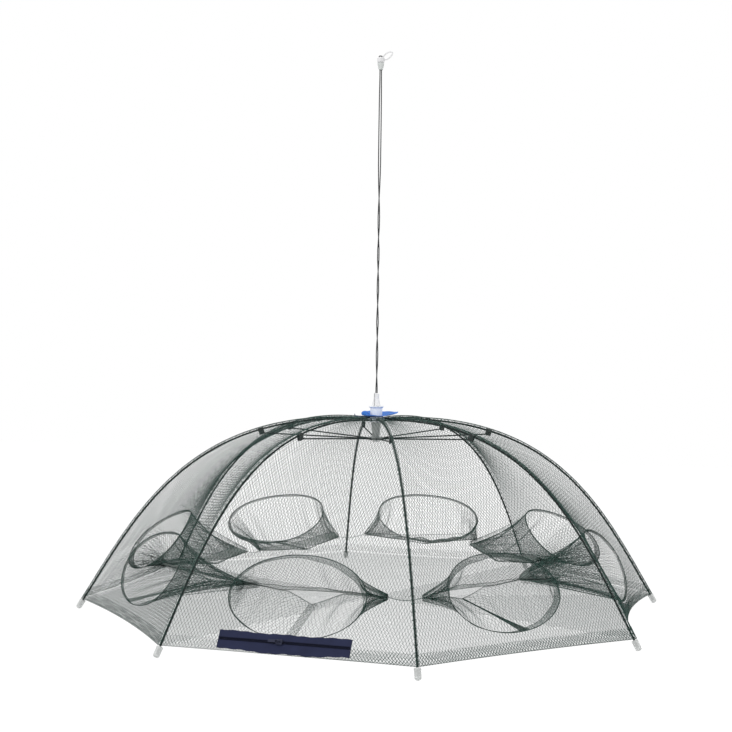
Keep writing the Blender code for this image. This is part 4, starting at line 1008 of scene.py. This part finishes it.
class TRAP_OT_floor(bpy.types.Operator):
    """Makes the fine floor net, as a middle and an edge that folds with the ribs"""

    bl_idname = "trap.floor"
    bl_label = "Make floor net"

    def execute(self, context):
        for number in NUMBERS:
            for label, low, high in (("edge", FLOOR_SPLIT, FLOOR_EDGE), ("middle", 0.0, FLOOR_SPLIT)):
                piece = rib_net(f"floor_net_{label}", number, floor_strands, "floor", low, high)
                if label == "edge":
                    fold_with_rib(piece, number)
                else:
                    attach(piece, "crown")
                    piece.parent = None
                    line = np.array(((FLOOR_BLEND, FLOOR_HEIGHT), (FLOOR_SPLIT, FLOOR_HEIGHT)))
                    start, end = (Vector(p) for p in rib_point(number, line))
                    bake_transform(piece)
                if number == 1 and label == "edge":
                    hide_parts("floor_net")
        return {"FINISHED"}


def unit(way):
    return way / np.linalg.norm(way, axis=-1, keepdims=True)


def funnel_form(panel, turn, share):
    """A point of a funnel: share runs from 0 at its ring to 1 at its flat mouth."""
    start = ring_place(panel, turn)
    end = slit_place(panel, turn)
    centre = (ring_place(panel, 0.0) + ring_place(panel, math.pi)) / 2
    inward = unit(end - start)
    outward = start - centre
    outward = unit(outward - (outward * inward).sum(axis=-1, keepdims=True) * inward)
    pleats = 0.0022 * np.sin(9 * turn + panel) + 0.0018 * np.sin(17 * turn + 2.3 * panel)
    sag = FUNNEL_SLACK * 4 * share * (1 - share) - pleats * np.sin(math.pi * share)
    return start + (end - start) * share[..., None] - sag[..., None] * outward


def funnel_strands(panel, cell):
    """The net of one funnel, a band of diamonds closed round it."""
    around = 2 * int(round(FUNNEL_ROUND / (cell * CELL_SHAPE)))
    reach = np.linspace(0, 2 * math.pi, 40)
    depth = float(np.linalg.norm(slit_place(panel, reach) - ring_place(panel, reach), axis=-1).mean())
    rows = int(round(depth / (cell / 2)))
    i, j = diamond_starts(np.arange(rows), np.arange(around))

    def formed(i, j):
        wobble = 0.25 * np.sin(i * 7.7 + j * 3.3 + panel)
        turn = 2 * math.pi * (i + np.where((j > 0) & (j < rows), wobble, 0.0)) / around
        return funnel_form(panel, turn, np.clip(j / rows, 0, 1))

    return [(formed(i, j), formed(i + step, j + 1)) for step in (1, -1)]


def lip_depth(turn):
    """How far a lip's hem reaches back from the mouth, as a share of the funnel."""
    return np.where(np.sin(turn) > 0, 0.12 - 0.07 * np.cos(turn), 0.035)


class TRAP_OT_funnels(bpy.types.Operator):
    """Makes the entrance rings, their net funnels with hemmed lips, and the threads that tie them"""

    bl_idname = "trap.funnels"
    bl_label = "Make funnels"

    def execute(self, context):
        sizes = context.scene.trap_sizes
        turn = np.linspace(0, 2 * math.pi, 97)[:-1]
        upper = np.linspace(*LIPS[0], 80)
        shares = np.linspace(0, 1, 12) * np.ones((80, 1))
        for panel in NUMBERS:
            net = net_piece(f"funnel_net_{panel}", funnel_strands(panel, sizes.cell), "net", sizes.strand)
            thick = sizes.ring_wire / 2 * (1 + 0.15 * np.sin(11 * turn + panel))
            wire = rod_mesh("ring_wire", ring_place(panel, turn), thick, 8, closed=True)
            mouth = rod_mesh("mouth_cord", slit_place(panel, turn), LIP_CORD, 5, closed=True)
            hem = rod_mesh("lip_cord", funnel_form(panel, upper, 1 - lip_depth(upper)), LIP_CORD, 5)
            entrance = shown(joined(f"entrance_ring_{panel}", [wire, mouth, hem]), "wire")
            lashed = net_piece(f"funnel_gather_{panel}", self.gathers(panel), "gather", GATHER_STRAND)
            edge = net_piece(f"funnel_lip_{panel}", self.lip_band(panel), "lip", LIP_STRAND)
            for piece in (net, entrance, lashed, edge):
                fold_with_rib(piece, panel)
            around = np.linspace(0, 2 * math.pi, 80)[:, None] * np.ones(12)
            grid_area(funnel_form(panel, around, shares))
            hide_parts(f"funnel_{panel}")
        self.tie(sizes.tie_thread / 2)
        return {"FINISHED"}

    def gathers(self, panel):
        """Bunched net on the ring, at the mouth's corners and under the lower lip's notch, as strands."""
        turn = np.linspace(0, 2 * math.pi, 301)
        least, waves, peaks = BUNCH_WIDTHS
        wide = least + waves * np.sin(5 * turn + panel) ** 2
        for peak in BUNCHES.get(panel, (0.9 + 0.7 * panel,)):
            wide = wide + peaks * (0.5 + 0.5 * np.cos(turn - peak)) ** 6
        ring = ring_place(panel, turn)
        outer = ring_place(panel, turn, 0.0006, 0.0008)
        inner = ring_place(panel, turn, 0.0, -0.0030) + wide[:, None] * unit(ring.mean(axis=0) - ring)
        pairs = [(outer[:-1], inner[1:]), (inner[:-1], inner[1:])]
        pairs += [(outer[:-4], inner[4:]), (inner[:-4], outer[4:])]
        for side, middle in ((1, 0.0), (-1, math.pi)):
            low, high, count = FANS.get((panel, side), PLAIN_FAN)
            fan = middle + np.radians(np.linspace(low, high, count)) * side
            start = ring_place(panel, fan)
            foot = slit_place(panel, middle) + np.linspace(-1, 1, count)[:, None] * FAN_SPREAD * UP
            rows = []
            for share in np.linspace(0.0, 1.0, 9):
                row = funnel_form(panel, fan, np.full(count, share))
                straight = start + (foot - start) * share
                rows.append(row + (straight - row) * (FAN_PULL + (1 - FAN_PULL) * share))
            for first, last in zip(rows, rows[1:]):
                pairs += [(first, last), (first[:-1], last[1:])]
        across, foot_turn, half, narrow, count, layers = STRIPS.get(panel, PLAIN_STRIP)
        top = slit_place(panel, -math.acos(across))
        foot = ring_place(panel, foot_turn + np.linspace(-STRIP_FOOT, STRIP_FOOT, count))
        _, side = directions(rib_turn(panel) + HALF_PANEL)
        rows = []
        for share in np.linspace(0, 1, 8):
            row = top + (foot - top) * share
            row = row.mean(axis=0) + (row - row.mean(axis=0)) * (narrow + (1 - narrow) * share**2)
            rows.append(row + (1 - share) * np.linspace(-half, half, count)[:, None] * side)
        for first, last in zip(rows, rows[1:]):
            pairs += [(first + shift, last + shift) for shift in np.arange(layers) * STRIP_LAYER]
        return pairs

    def lip_band(self, panel):
        """The folded hem of the two lips, a narrow dense band."""
        pairs = []
        for low, high in LIPS:
            turn = np.linspace(low, high, 190)
            edge = slit_place(panel, turn)
            back = funnel_form(panel, turn, 1 - lip_depth(turn))
            pairs += [(edge[:-1], back[1:]), (edge[:-1], back[:-1])]
        return pairs

    def tie(self, radius):
        """Short threads from each funnel's corner to the next one's, across the rib between them."""
        share = np.linspace(0, 1, 9)[:, None]
        for number in NUMBERS:
            start = slit_place(before(number), 0.0)
            end = slit_place(number, math.pi)
            points = start + (end - start) * share - 0.016 * share * (1 - share) * UP
            fold_with_rib(shown(rod_mesh(f"tie_thread_{number}", points, radius, 6), "seam"), number)


class TRAP_OT_ribs(bpy.types.Operator):
    """Makes the smooth bowed ribs with their hinge eyes and tip caps"""

    bl_idname = "trap.ribs"
    bl_label = "Make ribs"

    def execute(self, context):
        line = rib_curve(np.linspace(0.006, 1.0, 61))
        line = np.concatenate((line, [line[-1] + RIB_END * rib_slope(1.0)]))
        turn = np.linspace(0, 2 * math.pi, 25)[:-1]
        ring = np.stack((np.cos(turn), np.sin(turn)), axis=1)
        eye_line = EYE_RADIUS * ring + (HINGE_RADIUS, HUB_HEIGHT)
        for number in NUMBERS:
            rod = rod_mesh("rod", rib_point(number, line), RIB_RADIUS, 10)
            eye = rod_mesh("eye", rib_point(number, eye_line), EYE_WIRE, 6, closed=True)
            rib = shown(joined(f"bowed_rib_{number}", [rod, eye]), "rib")
            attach(rib, f"rib_arm_{number}")
            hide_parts(f"rib_{number}")
            self.cap(number)
            finish_node(f"rib_clip_{number}", "joint")
            finish_node(f"stretcher_{number}", "rib")
        return {"FINISHED"}

    def cap(self, number):
        """A round-nosed cap with a rim, pushed on the rib's end."""
        rim, wall = CAP_RADIUS, CAP_RADIUS - 0.0003
        profile = [(CAP_BORE, -0.0030), (CAP_BORE, 0.0), (rim - 0.0010, 0.0), (rim - 0.0004, -0.0003)]
        profile += [(rim, -0.0009), (rim, -0.0026), (wall, -0.0031)]
        for a in np.radians(np.linspace(0, 90, 9)):
            profile.append((wall * math.cos(a), CAP_NOSE - CAP_LENGTH - CAP_NOSE * math.sin(a)))
        mesh = turned_mesh(f"clear_cap_{number}", profile, 32)
        spot = Vector(rib_point(number, rib_curve(1.0)))
        down = Vector(rib_point(number, rib_slope(1.0) + (0, HANG_HEIGHT)))
        mesh.transform(Matrix.Translation(spot) @ (-down).to_track_quat("Z", "Y").to_matrix().to_4x4())
        cap = shown(mesh, "cap")
        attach(cap, f"rib_arm_{number}")
        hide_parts(f"tip_cap_{number}")


class TRAP_OT_seams(bpy.types.Operator):
    """Makes the gathered seams on the ribs, their lashings and the hem's cords"""

    bl_idname = "trap.seams"
    bl_label = "Make seams"

    def execute(self, context):
        sizes = context.scene.trap_sizes
        u = np.linspace(0.02, HEM_END, 60)
        across = np.clip(1 - SEAM_OFFSET / half_width(u), 0, 1)
        middle = rib_curve(np.linspace(0.05, 0.985, 160)) + (0, 0.0010)
        steps = [(k, k + 1) for k in range(len(middle) - 1)]
        for number in NUMBERS:
            thick = sizes.seam_cord / 2 * (1 + 0.15 * np.sin(90 * np.linspace(0, 1, 60) + number))
            tubes = [
                rod_mesh("seam", panel_place(panel, u, side * across, NET_THICKNESS), thick, 6)
                for panel, side in ((before(number), 1), (number, -1))
            ]
            seam = shown(joined(f"rib_seam_{number}", tubes), "seam")
            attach(seam, f"rib_arm_{number}")
            path = mesh_from("lashing", rib_point(number, middle), steps)
            lashed = grown(
                f"rib_lashing_{number}", path, lashing_recipe, "seam",
                Step=sizes.lash_step, Size=LASHING_SIZE, Thread=LASHING_THREAD, Seed=number,
            )
            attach(lashed, f"rib_arm_{number}")
            self.hem(number, sizes.hem_cord / 2)
        return {"FINISHED"}

    def hem(self, number, radius):
        """The dome's lower edge: its cord and the doubled mesh over it, between the middles of two panels."""
        rows = []
        for back in HEM_ROWS:
            place = np.full(41, HEM_END - back)
            left = panel_place(before(number), place, np.linspace(0, 1, 41), HEM_LIFT)
            right = panel_place(number, place, np.linspace(-1, 0, 41), HEM_LIFT)
            rows.append(np.concatenate((left, right[1:])))
        pairs = [(rows[0][:-1], rows[0][1:])] * 2
        for upper, lower in zip(rows, rows[1:]):
            pairs += [(upper[:-1], lower[1:]), (upper[1:], lower[:-1])]
        key, share = ("seam", 1.1) if number in DARK_HEMS else ("gather", 0.75)
        fold_with_rib(net_piece(f"dome_hem_{number}", pairs, key, radius * share), number)


def net_top(radius):
    """The net's outer side over a rib near the crown."""
    top = HUB_HEIGHT + CROWN_TOP
    first = net_line(0.0525)
    share = np.maximum(0.0, (radius - CROWN_HOLE) / (first[0] - CROWN_HOLE))
    return top + (first[1] - top) * share + 1.2 * NET_THICKNESS


class TRAP_OT_crown(bpy.types.Operator):
    """Finishes the hub, runner, latch and wire rings, and makes the cloth patch and drawcord"""

    bl_idname = "trap.crown"
    bl_label = "Make crown"

    def execute(self, context):
        for node, key in (
            ("crown_hub", "collar"), ("latch_stem", "plastic"), ("latch_prongs", "plastic"),
            ("runner", "sleeve"), ("hub_wire_ring", "steel"), ("runner_wire_ring", "steel"),
        ):
            finish_node(node, key)
        turn = Matrix.Translation((0, 0, -HANG_HEIGHT)) @ turned(CLOTH_TURN, "Z")
        self.patch(turn)
        self.drawcord(turn)
        return {"FINISHED"}

    def patch(self, turn):
        """A round cloth, curled up on one side and lifted on the other."""
        rows, around = 41, 120
        wide = PATCH_OUTER - PATCH_INNER
        share = np.linspace(0, 1, rows)[:, None]
        a = 2 * math.pi * np.arange(around) / around
        side = np.cos(a)
        right = np.maximum(0.0, side)
        radius = PATCH_INNER + wide * share
        rolled = np.clip((-side - 0.45) / 0.35, 0, 1)
        rolled = rolled * rolled * (3 - 2 * rolled)
        past = np.maximum(0.0, share - ROLL_FROM)
        bend = ROLL_TURN * past / (1 - ROLL_FROM)
        curl = ROLL_CURL - 0.0012 * past
        rolling = np.where(past > 0, rolled, 0.0)
        start = PATCH_INNER + wide * ROLL_FROM
        reach = radius + rolling * (start + curl * np.sin(bend) - radius) + 0.0034 * right * share
        height = PATCH_LEVEL + 0.0006 * share**2 * (1 + np.cos(3 * a + 0.6))
        height = height + 0.0005 * share * np.sin(7 * a + 1.3) + rolling * curl * (1 - np.cos(bend))
        height = height + 0.0036 * share * np.maximum(0.0, np.sin(a)) * (1 - rolled)
        height = height + 0.0036 * right**2 * share**2
        height = height + net_top(np.minimum(reach, radius)) + 0.0008 * share
        points = np.stack((reach * side, reach * np.sin(a), height), axis=-1).reshape(-1, 3)
        mesh = smoothed(mesh_from("crown_cloth", points, faces=grid_faces(rows, around, flip=True)), 80.0)
        mesh.transform(turn)
        cloth = shown(mesh, "patch")
        walled(cloth, 0.0007, 1.0)
        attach(cloth, "crown")
        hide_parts("crown_patch")

    def drawcord(self, turn):
        """One turn of cord round the collar, with its ends out to a small loop."""
        above = 0.00045 + LOOP_CORD
        ends = net_top(LOOP_REACH) + above
        radius = 0.0104 + LOOP_CORD
        half_gap = LOOP_CORD + 0.0004
        opening = math.asin(half_gap / radius)
        a = np.linspace(math.pi - opening, opening - math.pi, 65)
        level = np.full(65, net_top(CROWN_HOLE) + above)
        round_collar = np.stack((radius * np.cos(a), radius * np.sin(a), level), axis=1)
        b = np.radians(np.linspace(-60, 210, 25))
        loop = LOOP_EYE * np.stack((-0.2 * np.sin(b), -np.cos(b), 0.5 + 0.55 * np.sin(b)), axis=1)
        first = (0.006 - LOOP_REACH, half_gap, ends)
        last = (0.012 - LOOP_REACH, -half_gap, ends)
        path = np.concatenate(([first], round_collar, [last], loop + (-LOOP_REACH, 0, ends)))
        mesh = rod_mesh("crown_loop", path, LOOP_CORD, 8)
        mesh.transform(turn)
        cord = shown(mesh, "loop")
        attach(cord, "crown")
        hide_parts("crown_drawcord")


class TRAP_OT_zip(bpy.types.Operator):
    """Makes the zip's tapes and teeth, and finishes its slider and pull"""

    bl_idname = "trap.zip"
    bl_label = "Make zip"

    def execute(self, context):
        sizes = context.scene.trap_sizes
        axes = Matrix([Vector((1, 0, 0)), ZIP_UP, ZIP_OUT]).transposed().to_4x4()
        place = Matrix.Translation(ZIP_ORIGIN) @ axes
        for name, upward, node in (("upper", 1, "zip_tape_upper"), ("lower", -1, "zip_tape_lower")):
            mesh = self.tape_mesh(f"zip_cloth_{name}", upward)
            mesh.transform(place)
            tape = shown(smoothed(mesh, 80.0), "tape")
            # The wall becomes mesh
            walled(tape, ZIP_CLOTH, 0.0)
            result = set_mesh(tape)
            tape.modifiers.clear()
            tape.data = result
            fold_with_rib(tape, 1)
            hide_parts(node)
            ends = [(x, upward * TOOTH_OFFSET, TOOTH_LEVEL) for x in (0.002 - ZIP_LEFT, ZIP_RIGHT - 0.002)]
            line = mesh_from("line", ends, [(0, 1)])
            teeth = grown(f"zip_teeth_{name}", line, teeth_recipe, "teeth", Count=sizes.teeth, **TOOTH_SIZE)
            teeth.data.transform(place)
            fold_with_rib(teeth, 1)
        finish_node("zip_slider", "slider")
        finish_node("zip_pull", "slider")
        return {"FINISHED"}

    def tape_mesh(self, name, upward):
        """One tape on its own plane, with a wavy outer edge and small ripples."""
        columns, rows = 121, 9
        x = np.linspace(-ZIP_LEFT, ZIP_RIGHT, columns)[:, None]
        share = np.linspace(0, 1, rows)
        bow = 1 - np.linspace(-1, 1, columns)[:, None] ** 2
        height, growth = ZIP_EDGES[upward]
        wavy = 1 + 0.04 * np.sin(95 * x + 2 * upward) + 0.03 * np.sin(310 * x + upward)
        y = upward * (0.0001 + (height + growth * bow) * share * wavy)
        z = 0.0005 + 0.00025 * np.sin(330 * x + upward) * share
        points = np.stack(np.broadcast_arrays(x, y, z), axis=-1).reshape(-1, 3)
        faces = grid_faces(columns, rows, loop_columns=False, flip=True)
        return mesh_from(name, points, faces=faces if upward > 0 else [face[::-1] for face in faces])


class TRAP_OT_stage(bpy.types.Operator):
    """Adds the white ground, the soft lamps and the white surroundings"""

    bl_idname = "trap.stage"
    bl_label = "Add stage"

    def execute(self, context):
        scene = context.scene
        scene.view_settings.view_transform = "Standard"
        size = 9.0
        low = -HANG_HEIGHT - 0.55
        corners = [(-size, -size, low), (size, -size, low), (size, size, low), (-size, size, low)]
        mesh = mesh_from("ground", corners, faces=[(0, 1, 2, 3)])
        mesh.materials.append(self.ground_finish(scene.trap_colours.ground))
        linked("ground", mesh)
        self.surroundings(scene)
        self.lamp("key_lamp", (-1.6, -2.4, 1.6), 2.2, 30.0)
        self.lamp("fill_lamp", (2.6, -1.6, 0.8), 2.6, 14.0)
        self.lamp("top_lamp", (0.2, 0.8, 2.6), 2.4, 18.0)
        return {"FINISHED"}

    def ground_finish(self, tone):
        """Matt white paper, which the camera sees almost as plain white with a faint shadow."""
        finish = Finish("white_ground", {"Roughness": 0.9, "Specular IOR Level": 0.1})
        finish.paint(finish.noise(30.0, 3.0), *shades(tone, 0.99, 1.0))
        white = finish.node("ShaderNodeEmission", {}, {"Color": (1, 1, 1), "Strength": 1.08})
        parts = {0: finish.seen() * 0.85, 1: finish.shader.outputs[0], 2: white}
        output = finish.tree.nodes["Material Output"]
        finish.feed(output.inputs["Surface"], finish.node("ShaderNodeMixShader", {}, parts))
        return finish.material

    def surroundings(self, scene):
        """A white world, a little dimmer on the piece than to the eye."""
        scene.world = bpy.data.worlds.new("white_surroundings")
        scene.world.use_nodes = True
        graph = Graph(scene.world.node_tree)
        light = graph.tree.nodes["Background"]
        graph.feed(light.inputs["Color"], (1, 1, 1))
        graph.feed(light.inputs["Strength"], graph.seen() * 0.20 + 0.80)

    def lamp(self, name, spot, size, power):
        data = bpy.data.lights.new(name, "AREA")
        data.shape = "DISK"
        data.size = size
        data.energy = power
        spot = Vector(spot) - Vector((0, 0, HANG_HEIGHT))
        aim = Vector((0, 0, 0.15 - HANG_HEIGHT)) - spot
        turn = aim.to_track_quat("-Z", "Y").to_matrix().to_4x4()
        linked(name, data).matrix_world = Matrix.Translation(spot) @ turn


STEPS = (
    TRAP_OT_camera, TRAP_OT_cord, TRAP_OT_canopy, TRAP_OT_floor, TRAP_OT_funnels, TRAP_OT_ribs,
    TRAP_OT_seams, TRAP_OT_crown, TRAP_OT_zip, TRAP_OT_stage,
)


class TRAP_PT_panel(bpy.types.Panel):
    """Lists the trap's pieces with their sizes and colours"""

    bl_idname = "TRAP_PT_panel"
    bl_label = "Bait trap"
    bl_space_type = "VIEW_3D"
    bl_region_type = "UI"
    bl_category = "Bait trap"

    def draw(self, context):
        layout = self.layout
        for step in STEPS:
            layout.operator(step.bl_idname)
        for group in (context.scene.trap_sizes, context.scene.trap_colours):
            box = layout.box()
            for key in group.bl_rna.properties.keys():
                if key not in ("rna_type", "name"):
                    box.prop(group, key)


CLASSES = (TrapSizes, TrapColours, *STEPS, TRAP_PT_panel)


def register():
    for made in CLASSES:
        bpy.utils.register_class(made)
    bpy.types.Scene.trap_sizes = PointerProperty(type=TrapSizes)
    bpy.types.Scene.trap_colours = PointerProperty(type=TrapColours)


def unregister():
    del bpy.types.Scene.trap_colours
    del bpy.types.Scene.trap_sizes
    for made in reversed(CLASSES):
        bpy.utils.unregister_class(made)


def main():
    register()
    for step in STEPS:
        family, action = step.bl_idname.split(".")
        getattr(getattr(bpy.ops, family), action)()


if __name__ == "__main__":
    main()
